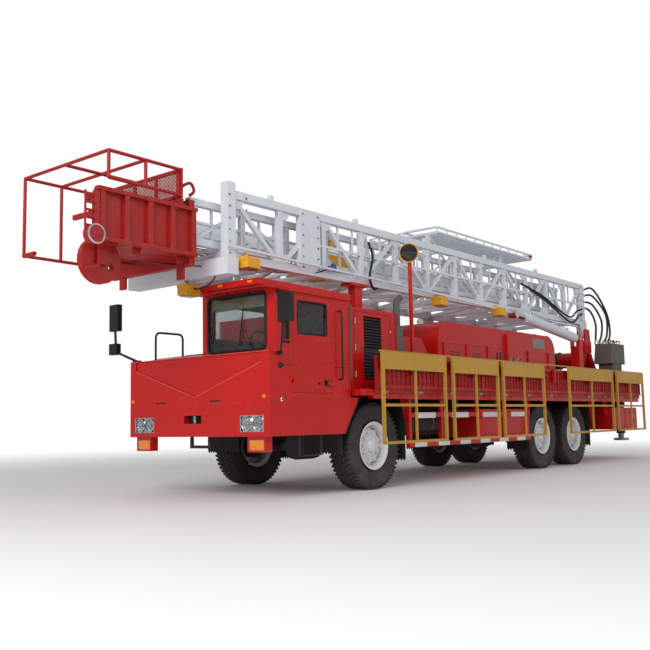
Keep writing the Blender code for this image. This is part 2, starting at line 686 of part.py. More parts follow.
def make_engine():
    house_x = ENGINE_HOUSE_X
    y0, y1 = ENGINE_HOUSE_Y
    low = DECK_Z[1] + FIT
    outer = [box((-house_x, house_x), (y0, y1), (low, ENGINE_HOUSE_TOP))]
    cuts = [box((-house_x + SHEET, house_x - SHEET), (y0 + SHEET, y1 - SHEET),
                (low - 0.1, ENGINE_HOUSE_TOP - SHEET))]
    cuts += both([box((house_x - 0.1, house_x + 0.1), (1.90, 2.30), (1.82, 2.28))])
    node("engine_housing", "carrier", "red", outer, cuts)
    node("engine_block", "carrier", "grey", [
        box((-0.42, 0.42), (y0 + 0.07, y1 - 0.07), (low, 2.05)),
        box((-0.25, 0.25), (y0 + 0.12, y1 - 0.12), (2.04, 2.22)),
    ])


def make_machinery():
    low = DECK_Z[1] + FIT
    y0, y1 = GEAR_HOUSE_Y
    top = GEAR_HOUSE_TOP
    profile = [(y0, low), (y1, low), (y1, top - 0.25), (y1 - 0.20, top), (y0 + 0.10, top), (y0, top - 0.15)]
    gearbox_cover = plate(profile, -GEAR_HOUSE_X, GEAR_HOUSE_X)
    skid = box((-0.60, 0.60), (y1 - 0.05, DRUM_HOUSE_Y[0] + 0.05), (low, low + 0.12))
    y0, y1 = DRUM_HOUSE_Y
    top, radius = DRUM_HOUSE_TOP, DRUM_HOUSE_ROUND
    outline = [(y0, low), (y1, low)]
    for centre, start in ((y1 - radius, 0), (y0 + radius, 90)):
        for step in range(7):
            angle = radians(start + 15 * step)
            outline.append((centre + radius * cos(angle), top - radius + radius * sin(angle)))
    chain_case = box((DRUM_HOUSE_X - 0.02, DRUM_HOUSE_X + 0.05), (6.35, 6.95), (low, top - 0.08))
    drum_cover = plate(outline, -DRUM_HOUSE_X, DRUM_HOUSE_X)
    node("drawworks_housing", "carrier", "red", [drum_cover, chain_case, gearbox_cover, skid])
    x = MAST_HALF + 0.30
    head = Vector((x, 3.20, 3.33))
    face = Vector((0.45, -0.85, -0.2)).normalized()
    node("deck_lamp", "carrier", "red", [
        rod((x, 3.20, low), (x, 3.20, 3.28), 0.03, 12),
        rod((x, 3.20, low), (x, 3.20, low + 0.02), 0.09, 12),
        rod(head - face * 0.07, head + face * 0.08, 0.115, 16, 0.135),
    ])
    console_x = (MAST_HALF + 0.14, WALK_PANEL_X[0] - 0.10)
    console_y = (10.30, 11.10)
    node("control_console", "carrier", "grey", [
        box((console_x[0] + 0.04, console_x[1] - 0.02), (console_y[0] + 0.15, console_y[1] - 0.15),
            (low, 2.02)),
        plate([(console_y[0], 1.98), (console_y[1], 1.98), (console_y[1], 2.40),
               (console_y[0] + 0.12, 2.40)],
              *console_x),
    ])


def make_lockers():
    """The lockers hang in pairs, each pair on two bearers that pass under the chassis."""
    bearer_z = (LOCKER_BOTTOM + 0.04, RAIL_Z[0] - 0.02)
    pair = both([box(LOCKER_X, LOCKER_Y, (LOCKER_BOTTOM, RAIL_Z[1] - 0.02 - FIT))])
    for y in (10.35, 11.15):
        pair.append(box((-LOCKER_X[0] - 0.01, LOCKER_X[0] + 0.01), (y - 0.05, y + 0.05), bearer_z))
    node("rear_lockers", "carrier", "red", pair)
    inset_x = (GUARD_X[0] + 0.01, GUARD_X[1] - 0.01)
    inner_x = RAIL_X + RAIL_W + 0.08
    side = [box(GUARD_X, GUARD_Y, z) for z in ((0.52, 0.585), (0.93, 0.995))]
    for y in (GUARD_Y[0] + 0.05, 3.60, 4.62, 5.50, GUARD_Y[1] - 0.05):
        side.append(box(inset_x, (y - 0.03, y + 0.03), (0.55, EDGE_Z - FIT)))
    side.append(box((inner_x, GUARD_X[0] + 0.02), (4.60, 6.36), (LOCKER_BOTTOM, 1.04)))
    pair = both(side)
    for y in (4.85, 6.10):
        pair.append(box((-inner_x - 0.01, inner_x + 0.01), (y - 0.05, y + 0.05), bearer_z))
    node("side_lockers", "carrier", "red", pair)


# ---- Mast --------------------------------------------------------------------------------------------
def spaced(low, high, count):
    return [low + (high - low) * step / count for step in range(count + 1)]


def lattice(half, z, y, chord, bays, post, brace, first_brace=1):
    """Four chords with posts and braces on the two sides and the bottom. The top face is open."""
    shapes = []
    for height in z:
        shapes.append(box((half - chord / 2, half + chord / 2), y,
                          (height - chord / 2, height + chord / 2)))
    stations = spaced(y[0] + post * 0.7, y[1] - post * 0.7, bays)
    for station in stations:
        shapes.append(box((half - post / 2, half + post / 2), (station - post / 2, station + post / 2), z))
    for index, (near, far) in enumerate(zip(stations, stations[1:])):
        ends = (z[0], z[1]) if index % 2 == first_brace else (z[1], z[0])
        shapes.append(bar((half, near, ends[0]), (half, far, ends[1]), brace, brace))
    shapes = both(shapes)
    for index, (near, far) in enumerate(zip(stations, stations[1:])):
        sign = 1 if index % 2 else -1
        shapes.append(bar((sign * half, near, z[0]), (-sign * half, far, z[0]), brace, brace, (0, 0, 1)))
    for station in stations:
        shapes.append(box((-half, half), (station - post * 0.45, station + post * 0.45),
                          (z[0] - post * 0.45, z[0] + post * 0.45)))
    return shapes, stations


def make_lower_mast():
    body("mast_lower_body", (0, *PIVOT), "carrier")
    shapes, stations = lattice(MAST_HALF, MAST_Z, MAST_Y, CHORD, MAST_BAYS, 0.07, 0.05)
    half = MAST_HALF
    low, high = MAST_Z
    shapes += both([
        box((half - 0.06, half + 0.06), (MAST_Y[0] - 0.05, MAST_Y[0] + 0.08), (low - 0.03, high + 0.14)),
        box((half - 0.02, half + 0.055), (1.05, 1.45), (low - 0.01, high + 0.03)),
        box((half - 0.055, half + 0.055), (MAST_Y[1] - 0.14, MAST_Y[1] + 0.02), (low - 0.02, high + 0.03)),
        plate([(MAST_Y[1] - 0.30, low), (PIVOT[0] - 0.09, PIVOT[1] - 0.09),
               (PIVOT[0] + 0.09, PIVOT[1] - 0.09),
               (PIVOT[0] + 0.09, low + 0.03), (MAST_Y[1] - 0.30, low + 0.03)], half - 0.048, half + 0.048),
    ])
    shapes.append(box((-half - 0.10, half + 0.12), (MAST_Y[0] - 0.12, MAST_Y[0] + 0.06),
                      (low - 0.22, low - 0.02)))
    pad_top = UPPER_Z[0] - UPPER_CHORD / 2 - RUN
    for station in (stations[0], stations[2], stations[7], stations[10]):
        shapes += both([box((UPPER_HALF - 0.05, UPPER_HALF + 0.05), (station - 0.03, station + 0.03),
                            (low, pad_top))])
    lug_top = CYLINDER_EYE[1] + 0.11
    lug = [(CYLINDER_EYE[0] - 0.09, CYLINDER_EYE[1] - 0.07),
           (CYLINDER_EYE[0] + 0.09, CYLINDER_EYE[1] - 0.07),
           (CYLINDER_EYE[0] + 0.22, lug_top), (CYLINDER_EYE[0] - 0.22, lug_top)]
    eye_pin = rod((half + 0.05, *CYLINDER_EYE), (EYE_X[0] - CLEAR, *CYLINDER_EYE), 0.04, 12)
    shapes += both([plate(lug, half + 0.005, half + 0.055), eye_pin])
    hole_r = (PIVOT_R + RUN) / cos(pi / 12)
    holes = both([rod((half - 0.1, *PIVOT), (half + 0.1, *PIVOT), hole_r, 12)])
    node("mast_lower", "mast_lower_body", "white", shapes, holes)


def make_upper_mast():
    body("mast_upper_body", (0, UPPER_Y[0], sum(UPPER_Z) / 2), "mast_lower_body")
    shapes, stations = lattice(UPPER_HALF, UPPER_Z, UPPER_Y, UPPER_CHORD, UPPER_BAYS, 0.05, 0.04, 0)
    top = UPPER_Z[1] + UPPER_CHORD / 2
    post_x = (UPPER_HALF - 0.03, UPPER_HALF + 0.03)
    posts = both([
        box(post_x, (BOARD_HINGE_Y - 0.04, BOARD_HINGE_Y + 0.04),
            (UPPER_Z[1], BOARD_LOW - BOARD_PIN_R - RUN)),
        box(post_x, (BOARD_REST_Y - 0.04, BOARD_REST_Y + 0.04), (UPPER_Z[1], BOARD_LOW + 0.012 - FIT)),
    ])
    cross = [
        box((-UPPER_HALF, UPPER_HALF), (y - 0.035, y + 0.035), (top + 0.14, top + 0.20))
        for y in (BOARD_HINGE_Y, BOARD_REST_Y)
    ]
    node("mast_upper", "mast_upper_body", "white", shapes + posts + cross)


def make_racking_board():
    y0, y1 = BOARD_Y
    x0, x1 = BOARD_X
    pin = (BOARD_HINGE_Y, BOARD_LOW)
    body("racking_board_body", (0, *pin), "mast_upper_body")
    low, high = BOARD_LOW, BOARD_Z + 0.07
    shapes = [
        box((x1 - 0.06, x1), (y0, y1), (low, high)),
        box((x0, x0 + 0.06), (y0, y1), (low, high)),
        box((x0, x1), (y0 + 0.001, y0 + 0.08), (low + 0.002, high - 0.002)),
        box((x0, x1), (y1 - 0.08, y1 - 0.001), (low + 0.002, high - 0.002)),
        box((x0 + 0.01, x1 - 0.01), (y0 + 0.02, y1 - 0.02), (low + 0.012, low + 0.03)),
        box((-0.66, x0 + 0.02), (y0 + 0.02, y0 + 0.06), (low + 0.02, low + 0.06)),
        box((-0.66, x0 + 0.02), (6.40, 6.44), (low + 0.02, low + 0.06)),
        box((-0.66, -0.62), (y0 + 0.025, 6.435), (low + 0.022, low + 0.058)),
    ]
    shapes.append(rod((-0.66, *pin), (x1 - 0.02, *pin), BOARD_PIN_R, 12))
    shapes.append(box((-0.64, x1 - 0.03), (pin[0] - 0.009, y0 + 0.03), (low, low + 0.027)))
    node("racking_board", "racking_board_body", "white", shapes)


def make_crown():
    """The crown: a back plate on the mast's end, the sheaves between two cheeks, and the line frame on the left."""
    y0, y1 = CROWN_Y
    z0, z1 = CROWN_Z
    left = LINE_FRAME_X
    web, flange = BEAM_WEB / 2, BEAM_FLANGE / 2
    shapes = [
        box((-left + 0.02, left - 0.001), (y1 - 0.08, y1), (z0 - 0.12, 3.44)),
        box((left - CROWN_PLATE, left), (y0, y1 - 0.001), (z0, z1)),
        plate([(left - 0.02, y0 + 0.05), (left - 0.02, y1 - 0.02), (0.0, y1 - 0.02), (0.0, -1.45)], z0,
              z0 + 0.03, "Z"),
        box((-GUARD_HALF, GUARD_HALF), (GUARD_DECK_Y - web, GUARD_DECK_Y + web), (3.34, GUARD_Z[1])),
        box((-GUARD_HALF + 0.01, GUARD_HALF - 0.01), (GUARD_DECK_Y - flange, GUARD_DECK_Y + flange),
            (3.345, 3.41)),
        box((-left + 0.04, left - 0.04), (GUARD_DECK_Y - 0.01, y1 - 0.01), (3.35, 3.40)),
        box(
            (-GUARD_HALF - 0.02, -left + 0.03),
            (GUARD_DECK_Y - flange + 0.001, GUARD_DECK_Y + flange - 0.001),
            (GUARD_Z[0] - 0.02, 3.40),
        ),
        box((-left - 0.02, -left + 0.06), (GUARD_DECK_Y - 0.02, y1 - 0.01), (z0 + 0.05, z0 + 0.12)),
    ]
    for y in spaced(y0 + 0.05, y1 - 0.05, 4):
        shapes.append(box((left - 0.01, left + 0.05), (y - 0.03, y + 0.03), CROWN_Z))
    for z in CROWN_Z:
        shapes.append(box((left - 0.02, left + 0.06), (y0 - 0.01, y1 - 0.002), (z - 0.02, z + 0.02)))
    cheek = CHEEK_X
    shapes += both([box((cheek, cheek + 0.03), (SHEAVE_Y - 0.22, y1 - 0.04), (z0 + 0.02, z1 + 0.03))])
    shaft_sides = 12
    shapes.append(rod((-cheek - 0.01, SHEAVE_Y, SHEAVE_Z), (cheek + 0.01, SHEAVE_Y, SHEAVE_Z), SHAFT_R,
                      shaft_sides))
    for x in (-0.50, 0.55):
        shapes.append(box((x - 0.05, x + 0.05), (y1 - 0.065, y1 - 0.025), (z0 - 0.26, z0 - 0.10)))
    sheave, hole = fast_line_sheave()
    node("crown_frame", "mast_upper_body", "red", shapes + sheave + rope_rollers(), [hole])
    bore = (SHAFT_R + RUN) / cos(pi / shaft_sides)
    half = cheek - RUN
    profile = [(bore, -half), (SHEAVE_R, -half)]
    pitch = 2 * half / 4
    for index in range(4):
        x = -half + pitch * (index + 0.5)
        profile += [(SHEAVE_R, x - 0.04), (SHEAVE_R - 0.05, x - 0.015), (SHEAVE_R - 0.05, x + 0.015),
                    (SHEAVE_R, x + 0.04)]
    profile += [(SHEAVE_R, half), (bore, half)]
    stack = turned(profile, (0, SHEAVE_Y, SHEAVE_Z), 14, ring=True)
    body("crown_sheaves_body", (0, SHEAVE_Y, SHEAVE_Z), "mast_upper_body")
    node("crown_sheaves", "crown_sheaves_body", "dark_red", [stack])
    make_crown_guard()


def fast_line_sheave():
    """The sheave and its bracket under the crown's left beam, and the hole through its disc."""
    x, y, z = 0.52, -1.80, 2.62
    beam_low = CROWN_Z[0] - 0.01
    profile = [(0, -0.035), (0.25, -0.035), (0.25, -0.02), (0.22, 0), (0.25, 0.02), (0.25, 0.035),
               (0, 0.035)]
    shapes = [
        turned(profile, (x, y, z), 24),
        rod((x - 0.10, y, z), (x + 0.09, y, z), 0.05, 12),
        box((x + 0.06, x + 0.085), (y - 0.07, y + 0.07), (z - 0.05, beam_low)),
        box((x + 0.06, LINE_FRAME_X), (y - 0.07, y + 0.07), (beam_low - 0.03, beam_low + 0.005)),
    ]
    hole = rod((x - 0.055, y + 0.12, z - 0.06), (x + 0.055, y + 0.12, z - 0.06), 0.035, 10)
    return shapes, hole


def rope_rollers():
    front = CROWN_Y[0]
    x0, x1 = LINE_FRAME_X - 0.045, LINE_FRAME_X + 0.045
    x = x0 + 0.04
    tip = HEAD_FRONT + 0.012
    shapes = [box((x0, x1), (front - 0.02, front + 0.01), (2.83, 3.29))]
    for height in (2.92, 3.00, 3.08, 3.16, 3.24):
        shapes.append(rod((x, front - 0.01, height), (x, tip, height), 0.014, 8))
    shapes.append(rod((x, tip, 2.88), (x, tip, 3.28), 0.012, 8))
    shapes.append(rod((x - 0.03, front - 0.035, 2.83), (x + 0.07, front - 0.035, 2.83), 0.10, 16))
    return shapes


def make_crown_guard():
    """The guard's frame of square tube. Tubes that cross differ a little in width, and end inside each other."""
    half, low, high = GUARD_HALF, GUARD_Z[0], GUARD_Z[1] - GUARD_TUBE
    width = GUARD_TUBE
    post = GUARD_TUBE * 0.9
    long = GUARD_TUBE * 0.8
    left, right = half - width, -half + width
    front = GUARD_FRONT + width
    middle = (GUARD_FRONT + GUARD_DECK_Y) / 2
    deck = GUARD_DECK_Y - BEAM_WEB / 2 - FIT
    post_face = GUARD_DECK_Y - BEAM_FLANGE / 2 - FIT
    shapes = []
    for x in (right, 0, left):
        shapes.append(box((x - long, x + long), (front - long, deck), (high - long, high + long)))
    for y in (front, middle):
        shapes.append(box((right - width, left + width), (y - width, y + width),
                          (high - width, high + width)))
        shapes.append(box((right - post, right + post), (y - post, y + post), (low - post, high)))
        shapes.append(box((left - post, left + post), (y - post, y + post), (GUARD_LEFT_LOW - post, high)))
    shapes.append(box((right - long, right + long), (front - long, post_face), (low - long, low + long)))
    shapes.append(box((left - long, left + long), (front - long, post_face),
                      (GUARD_LEFT_LOW - long, GUARD_LEFT_LOW + long)))
    shapes.append(box((right - width, right + 0.24), (front - width, front + width),
                      (low - width, low + width)))
    node("crown_guard", "mast_upper_body", "red", shapes)


def make_mast_supports():
    low = DECK_Z[1] + FIT
    half = MAST_HALF
    y, z = PIVOT
    base_y, base_z = CYLINDER_BASE
    cheek = 0.05
    shapes = []
    for inner in (half - 0.05 - RUN - cheek, half + 0.05 + RUN):
        x = (inner, inner + cheek)
        shapes.append(plate([(y - 0.13, z - 0.30), (y + 0.13, z - 0.30), (y + 0.09, z + 0.08),
                             (y - 0.09, z + 0.08)], *x))
    shapes.append(box((half - 0.10, half + 0.10), (y - 0.16, y + 0.16), (z - 0.40, z - 0.16)))
    for foot in (9.55, 10.95):
        shapes.append(bar((half, foot, low + 0.005), (half, y, z - 0.26), 0.14, 0.13))
        shapes.append(box((half - 0.12, half + 0.12), (foot - 0.14, foot + 0.14), (low, low + 0.03)))
    shapes.append(bar((half, 9.72, 1.62), (half, 10.78, 1.62), 0.10, 0.10))
    shapes.append(rod((half - 0.095, y, z), (half + 0.095, y, z), PIVOT_R, 12))
    column_top = base_z - CYLINDER_R - 0.06
    shapes.append(box((CYLINDER_X - 0.09, CYLINDER_X + 0.09), (base_y - 0.09, base_y + 0.09),
                      (low, column_top)))
    for sign in (1, -1):
        x = CYLINDER_X + sign * (CHEEK_GAP + 0.015)
        cheek_y = (base_y - CHEEK_HALF, base_y + CHEEK_HALF)
        shapes.append(box((x - 0.015, x + 0.015), cheek_y, (column_top - 0.03, base_z + CHEEK_RISE)))
    shapes.append(bar((half, 9.85, 2.05), (CYLINDER_X, base_y, 2.10), 0.10, 0.10, (0, 0, 1)))
    shapes = both(shapes)
    shapes.append(box((-half, half), (9.50, 9.60), (1.40, 1.50)))
    shapes.append(box((-half, half), (10.90, 11.00), (1.40, 1.50)))
    shapes.append(rod((-half, 9.98, 2.06), (half, 9.98, 2.06), 0.16, 16))
    trunnion_hole = (TRUNNION_R + RUN) / cos(pi / 12)
    cuts = both([rod((CYLINDER_X - 0.2, *CYLINDER_BASE), (CYLINDER_X + 0.2, *CYLINDER_BASE), trunnion_hole,
                     12)])
    cuts.append(box((-1.5, 1.5), (8.8, 11.6), (low - 0.5, low)))
    node("mast_base", "carrier", "red", shapes, cuts)
    top = MAST_Z[0] - CHORD / 2 - FIT
    roof = ENGINE_HOUSE_TOP + FIT
    rest = both([
        box((half - 0.06, half + 0.06), (2.18, 2.34), (roof, top)),
        box((half - 0.10, half + 0.10), (2.06, 2.46), (top - 0.04, top)),
        box((half - 0.10, half + 0.10), (2.06, 2.46), (roof, roof + 0.04)),
    ])
    rest.append(box((-half, half), (2.22, 2.30), (roof + 0.01, roof + 0.09)))
    node("mast_rest", "carrier", "red", rest)


def make_cylinders():
    base_y, base_z = CYLINDER_BASE
    eye_y, eye_z = CYLINDER_EYE
    length = hypot(eye_y - base_y, eye_z - base_z)
    along = Vector((0, eye_y - base_y, eye_z - base_z)).normalized()
    out = Vector((1, 0, 0))
    for side, sign in (("left", 1), ("right", -1)):
        base = Vector((CYLINDER_X, base_y, base_z))
        eye = base + along * length
        body(f"cylinder_{side}_body", (sign * CYLINDER_X, base_y, base_z), "carrier")
        body(f"piston_{side}_body", (sign * CYLINDER_X, eye_y, eye_z), f"cylinder_{side}_body")
        barrel_end = base + along * (length - 0.42)
        shapes = [
            rod(base + along * (hypot(CHEEK_HALF, CHEEK_RISE) + 2 * CLEAR), barrel_end, CYLINDER_R, 16),
            rod(base, base + along * 0.12, 0.05, 12),
            rod(base - out * (CHEEK_GAP - RUN), base + out * (CHEEK_GAP - RUN), 0.065, 12),
            rod(base - out * 0.095, base + out * 0.095, TRUNNION_R, 12),
        ]
        bore = rod(base + along * 0.30, barrel_end + along * 0.05, ROD_R + RUN, 12)
        rods = [
            rod(base + along * 0.60, eye - along * 0.05, ROD_R, 12),
            rod((EYE_X[0], eye_y, eye_z), (EYE_X[1], eye_y, eye_z), 0.085, 12),
        ]
        if sign < 0:
            shapes, rods, bore = [mirrored(s) for s in shapes], [mirrored(s) for s in rods], mirrored(bore)
        node(f"raising_cylinder_{side}", f"cylinder_{side}_body", "white", shapes, [bore])
        node(f"piston_rod_{side}", f"piston_{side}_body", "chrome", rods)


# ---- Walkways ----------------------------------------------------------------------------------------
def make_walkways():
    y0, y1 = WALK_Y
    px, pz = WALK_PIN
    hx, hz = HAND_PIN
    brackets = [2.64, 4.30, 5.90, 7.15, 8.72, 10.75]
    for side, sign in (("left", 1), ("right", -1)):
        body(f"walkway_{side}_body", (sign * px, (y0 + y1) / 2, pz), "carrier")
        body(f"handrail_{side}_body", (sign * hx, (y0 + y1) / 2, hz), f"walkway_{side}_body")
        shapes = [
            rod((px, y0, pz), (px, y1, pz), WALK_PIN_R, 12),
            box((px - 0.008, px + 0.012), (y0, y1), (pz, pz + 0.06)),
            box(WALK_PANEL_X, (y0 + 0.001, y1 - 0.001), (pz + 0.045, pz + 0.085)),
            box(WALK_PANEL_X, (y0 + 0.001, y1 - 0.001), (WALK_TOP - 0.04, WALK_TOP)),
            box((px + 0.002, px + 0.02), (y0 + 0.002, y1 - 0.002), (pz + 0.05, WALK_TOP - 0.002)),
        ]
        for y in spaced(y0 + 0.02, y1 - 0.02, 14):
            shapes.append(box((px + 0.01, WALK_PANEL_X[1] - 0.003), (y - 0.015, y + 0.015),
                              (pz + 0.06, WALK_TOP - 0.01)))
        for y in brackets:
            shapes.append(box((WALK_PANEL_X[1] - 0.01, hx + 0.009), (y - 0.03, y + 0.03),
                              (1.50, WALK_TOP - 0.005)))
            shapes.append(box((hx - 0.005, hx + 0.008), (y - 0.029, y + 0.029),
                              (1.60, hz - HAND_PIN_R - RUN)))
        if sign < 0:
            shapes = [mirrored(shape) for shape in shapes]
        node(f"walkway_{side}", f"walkway_{side}_body", "red", shapes)
        shapes = [rod((hx, y0 + 0.02, hz), (hx, y1 - 0.02, hz), HAND_PIN_R, 8)]
        middle = (HAND_LOW + TOE_Z[0]) / 2 + 0.02
        for low, high in HAND_SPANS:
            inside = (low + 0.005, high - 0.005)
            shapes.append(box((HAND_X[0] + 0.004, HAND_X[1] - 0.006), inside, TOE_Z))
            for z in (HAND_LOW + 0.02, middle):
                shapes.append(box((HAND_X[0] + 0.003, HAND_X[1] - 0.003), inside, (z - 0.018, z + 0.018)))
            for y in (low + POST / 2, high - POST / 2):
                shapes.append(box(HAND_X, (y - POST / 2, y + POST / 2), (HAND_LOW, hz - 0.002)))
                shapes.append(box((hx - 0.004, HAND_X[0] + 0.01),
                                  (y - POST / 2 + 0.002, y + POST / 2 - 0.002), (hz - 0.008, hz + 0.008)))
            y = (low + high) / 2
            shapes.append(box((HAND_X[0] + 0.006, HAND_X[1] - 0.006), (y - 0.014, y + 0.014),
                              (HAND_LOW + 0.02, TOE_Z[0] + 0.01)))
        if sign < 0:
            shapes = [mirrored(shape) for shape in shapes]
        node(f"handrail_{side}", f"handrail_{side}_body", "yellow", shapes)


def main():
    for old in list(bpy.data.objects):
        bpy.data.objects.remove(old)
    body("carrier", (0, 0, 0))
    make_wheels()
    make_axles()
    make_knuckles()
    make_chassis()
    make_jacks()
    make_bumper()
    make_nose()
    make_cab()
    make_door()
    make_cab_inside()
    make_mirrors()
    make_deck()
    make_engine()
    make_machinery()
    make_lockers()
    make_lower_mast()
    make_upper_mast()
    make_racking_board()
    make_crown()
    make_mast_supports()
    make_cylinders()
    make_walkways()


main()
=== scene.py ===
# %% [markdown]
# # A workover rig on a three-axle carrier
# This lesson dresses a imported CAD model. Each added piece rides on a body, so it follows when the mast
# rises or the walkways fold down.

import math
import random

import bmesh
import bpy
from mathutils import Matrix, Vector


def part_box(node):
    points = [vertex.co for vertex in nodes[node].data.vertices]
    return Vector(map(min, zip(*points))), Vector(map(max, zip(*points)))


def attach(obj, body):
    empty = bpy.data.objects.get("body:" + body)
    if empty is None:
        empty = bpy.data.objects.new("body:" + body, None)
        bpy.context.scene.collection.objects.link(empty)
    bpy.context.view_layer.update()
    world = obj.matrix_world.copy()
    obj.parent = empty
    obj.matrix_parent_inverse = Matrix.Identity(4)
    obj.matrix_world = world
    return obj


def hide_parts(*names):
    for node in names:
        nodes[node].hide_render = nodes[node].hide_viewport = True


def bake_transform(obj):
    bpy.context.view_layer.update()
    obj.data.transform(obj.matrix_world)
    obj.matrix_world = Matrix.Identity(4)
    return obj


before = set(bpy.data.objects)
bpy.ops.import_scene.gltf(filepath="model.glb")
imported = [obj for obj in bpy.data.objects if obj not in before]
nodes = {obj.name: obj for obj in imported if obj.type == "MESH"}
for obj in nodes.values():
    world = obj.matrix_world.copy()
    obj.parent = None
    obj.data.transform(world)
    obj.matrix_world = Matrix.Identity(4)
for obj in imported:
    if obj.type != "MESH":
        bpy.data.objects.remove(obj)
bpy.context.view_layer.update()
draw = random.Random(4)

# %% [markdown]
# ## Where things are
# A rig builder measures back from the front bumper. The script does the same: every y below is the distance
# behind the bumper's face, and one shift moves finished pieces into the model's own frame. The other sizes
# are read from the CAD nodes, so that a lamp or a seal stays on its panel if the model changes.

# %% Sizes read from the model
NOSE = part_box("bumper")[0].y
to_model = Matrix.Translation((0, NOSE, 0))


def measured(node):
    """A node's lowest and highest corner, with y counted from the bumper."""
    low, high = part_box(node)
    return low - Vector((0, NOSE, 0)), high - Vector((0, NOSE, 0))


cab_low, cab_high = measured("cab_shell")
deck_top = measured("deck")[1].z
HOUSE_X = measured("engine_housing")[1].x
DRUM_X = measured("drawworks_housing")[1].x
mast_low, mast_high = measured("mast_lower")
upper_low, upper_high = measured("mast_upper")
print(f"deck top {deck_top:.2f} m, cab roof {cab_high.z:.2f} m, mast {mast_low.z:.2f} to {mast_high.z:.2f} m")

# %% [markdown]
# ## Simple shapes
# Most parts of a truck are cut, rolled or bent from plate, bar and tube, so a handful of shape functions is
# enough. Each returns a bmesh, and one function joins them into a piece, softens the edges and hangs it on
# its body. Real plate never has a perfectly sharp edge, and the small bevel is what catches the light.

# %% Shape functions
SIDES = 16
BOTH_SIDES = (("left", 1), ("right", -1))


def box(x, y, z):
    low = Vector((min(x), min(y), min(z)))
    high = Vector((max(x), max(y), max(z)))
    shape = bmesh.new()
    size = Matrix.Diagonal((*(high - low), 1))
    bmesh.ops.create_cube(shape, size=1, matrix=Matrix.Translation((low + high) / 2) @ size)
    return shape


def rod(start, end, radius, sides=SIDES, radius_end=None):
    """A round bar between two points. A second radius makes it a cone."""
    start, end = Vector(start), Vector(end)
    turn = (end - start).to_track_quat("Z", "Y").to_matrix().to_4x4()
    shape = bmesh.new()
    bmesh.ops.create_cone(
        shape, cap_ends=True, segments=sides, radius1=radius,
        radius2=radius if radius_end is None else radius_end,
        depth=(end - start).length, matrix=Matrix.Translation((start + end) / 2) @ turn,
    )
    return shape


def bar(start, end, width, depth, across=(1, 0, 0)):
    """A flat bar between two points; its width lies along the direction called across."""
    start, end = Vector(start), Vector(end)
    along = (end - start).normalized()
    side = Vector(across)
    side = (side - along * side.dot(along)).normalized()
    turn = Matrix((side, along.cross(side), along)).transposed().to_4x4()
    size = Matrix.Diagonal((width, depth, (end - start).length, 1))
    shape = bmesh.new()
    bmesh.ops.create_cube(shape, size=1, matrix=Matrix.Translation((start + end) / 2) @ turn @ size)
    return shape


def plate(outline, low, high, axis="X"):
    """An outline pushed along an axis. Its two numbers are the other two axes, in XYZ order."""
    place = {
        "X": lambda a, b, c: (c, a, b),
        "Y": lambda a, b, c: (a, c, b),
        "Z": lambda a, b, c: (a, b, c),
    }[axis]
    shape = bmesh.new()
    rings = [[shape.verts.new(place(a, b, level)) for a, b in outline] for level in (low, high)]
    shape.faces.new(rings[0])
    shape.faces.new(rings[1][::-1])
    for i in range(len(outline)):
        j = (i + 1) % len(outline)
        shape.faces.new((rings[0][j], rings[0][i], rings[1][i], rings[1][j]))
    bmesh.ops.recalc_face_normals(shape, faces=shape.faces[:])
    return shape


def lathe(profile, centre, axis="X", sides=32):
    """A profile of (radius, distance along the axis) points turned about that axis."""
    turn = {"X": Matrix.Rotation(math.pi / 2, 4, "Y"), "Y": Matrix.Rotation(-math.pi / 2, 4, "X"),
            "Z": Matrix()}
    shape = bmesh.new()
    rows = []
    for radius, along in profile:
        steps = range(sides) if radius else [0]
        angles = [math.tau * step / sides for step in steps]
        rows.append([shape.verts.new((radius * math.cos(a), radius * math.sin(a), along)) for a in angles])
    for first, second in zip(rows, rows[1:]):
        for step in range(sides):
            after = (step + 1) % sides
            corners = [first[step % len(first)], first[after % len(first)]]
            corners += [second[after % len(second)], second[step % len(second)]]
            corners = list(dict.fromkeys(corners))
            if len(corners) > 2:
                shape.faces.new(corners)
    bmesh.ops.recalc_face_normals(shape, faces=shape.faces[:])
    bmesh.ops.transform(shape, matrix=Matrix.Translation(centre) @ turn[axis], verts=shape.verts[:])
    return shape


def rounded_path(corners, radius, steps=5):
    """The corners of a bent pipe with each inner corner turned into an arc."""
    corners = [Vector(corner) for corner in corners]
    path = [corners[0]]
    for before, corner, after in zip(corners, corners[1:], corners[2:]):
        back, on = (before - corner).normalized(), (after - corner).normalized()
        reach = min(radius, (before - corner).length / 2, (after - corner).length / 2)
        for step in range(steps + 1):
            t = step / steps
            near, far = corner + back * reach * (1 - t), corner + on * reach * t
            path.append(near * (1 - t) + far * t)
    return path + [corners[-1]]


def pipe(points, radius, sides=3):
    """A round pipe or hose along points, made from a bevelled curve."""
    curve = bpy.data.curves.new("route", "CURVE")
    curve.dimensions = "3D"
    spline = curve.splines.new("POLY")
    spline.points.add(len(points) - 1)
    for knot, point in zip(spline.points, points):
        knot.co = (*point, 1)
    curve.bevel_depth = radius
    curve.bevel_resolution = sides
    curve.use_fill_caps = True
    guide = bpy.data.objects.new("route", curve)
    mesh = bpy.data.meshes.new_from_object(guide)
    shape = bmesh.new()
    shape.from_mesh(mesh)
    bpy.data.objects.remove(guide)
    bpy.data.curves.remove(curve)
    bpy.data.meshes.remove(mesh)
    return shape


def smooth_route(points, steps=8):
    """A smooth line through points, as a hose lies between its fittings."""
    points = [Vector(point) for point in points]
    padded = [points[0] * 2 - points[1]] + points + [points[-1] * 2 - points[-2]]
    route = []
    for a, b, c, d in zip(padded, padded[1:], padded[2:], padded[3:]):
        for step in range(steps):
            t = step / steps
            route.append((b * 2 + (c - a) * t + (a * 2 - b * 5 + c * 4 - d) * t**2
                          + (b * 3 - a - c * 3 + d) * t**3) / 2)
    return route + [points[-1]]


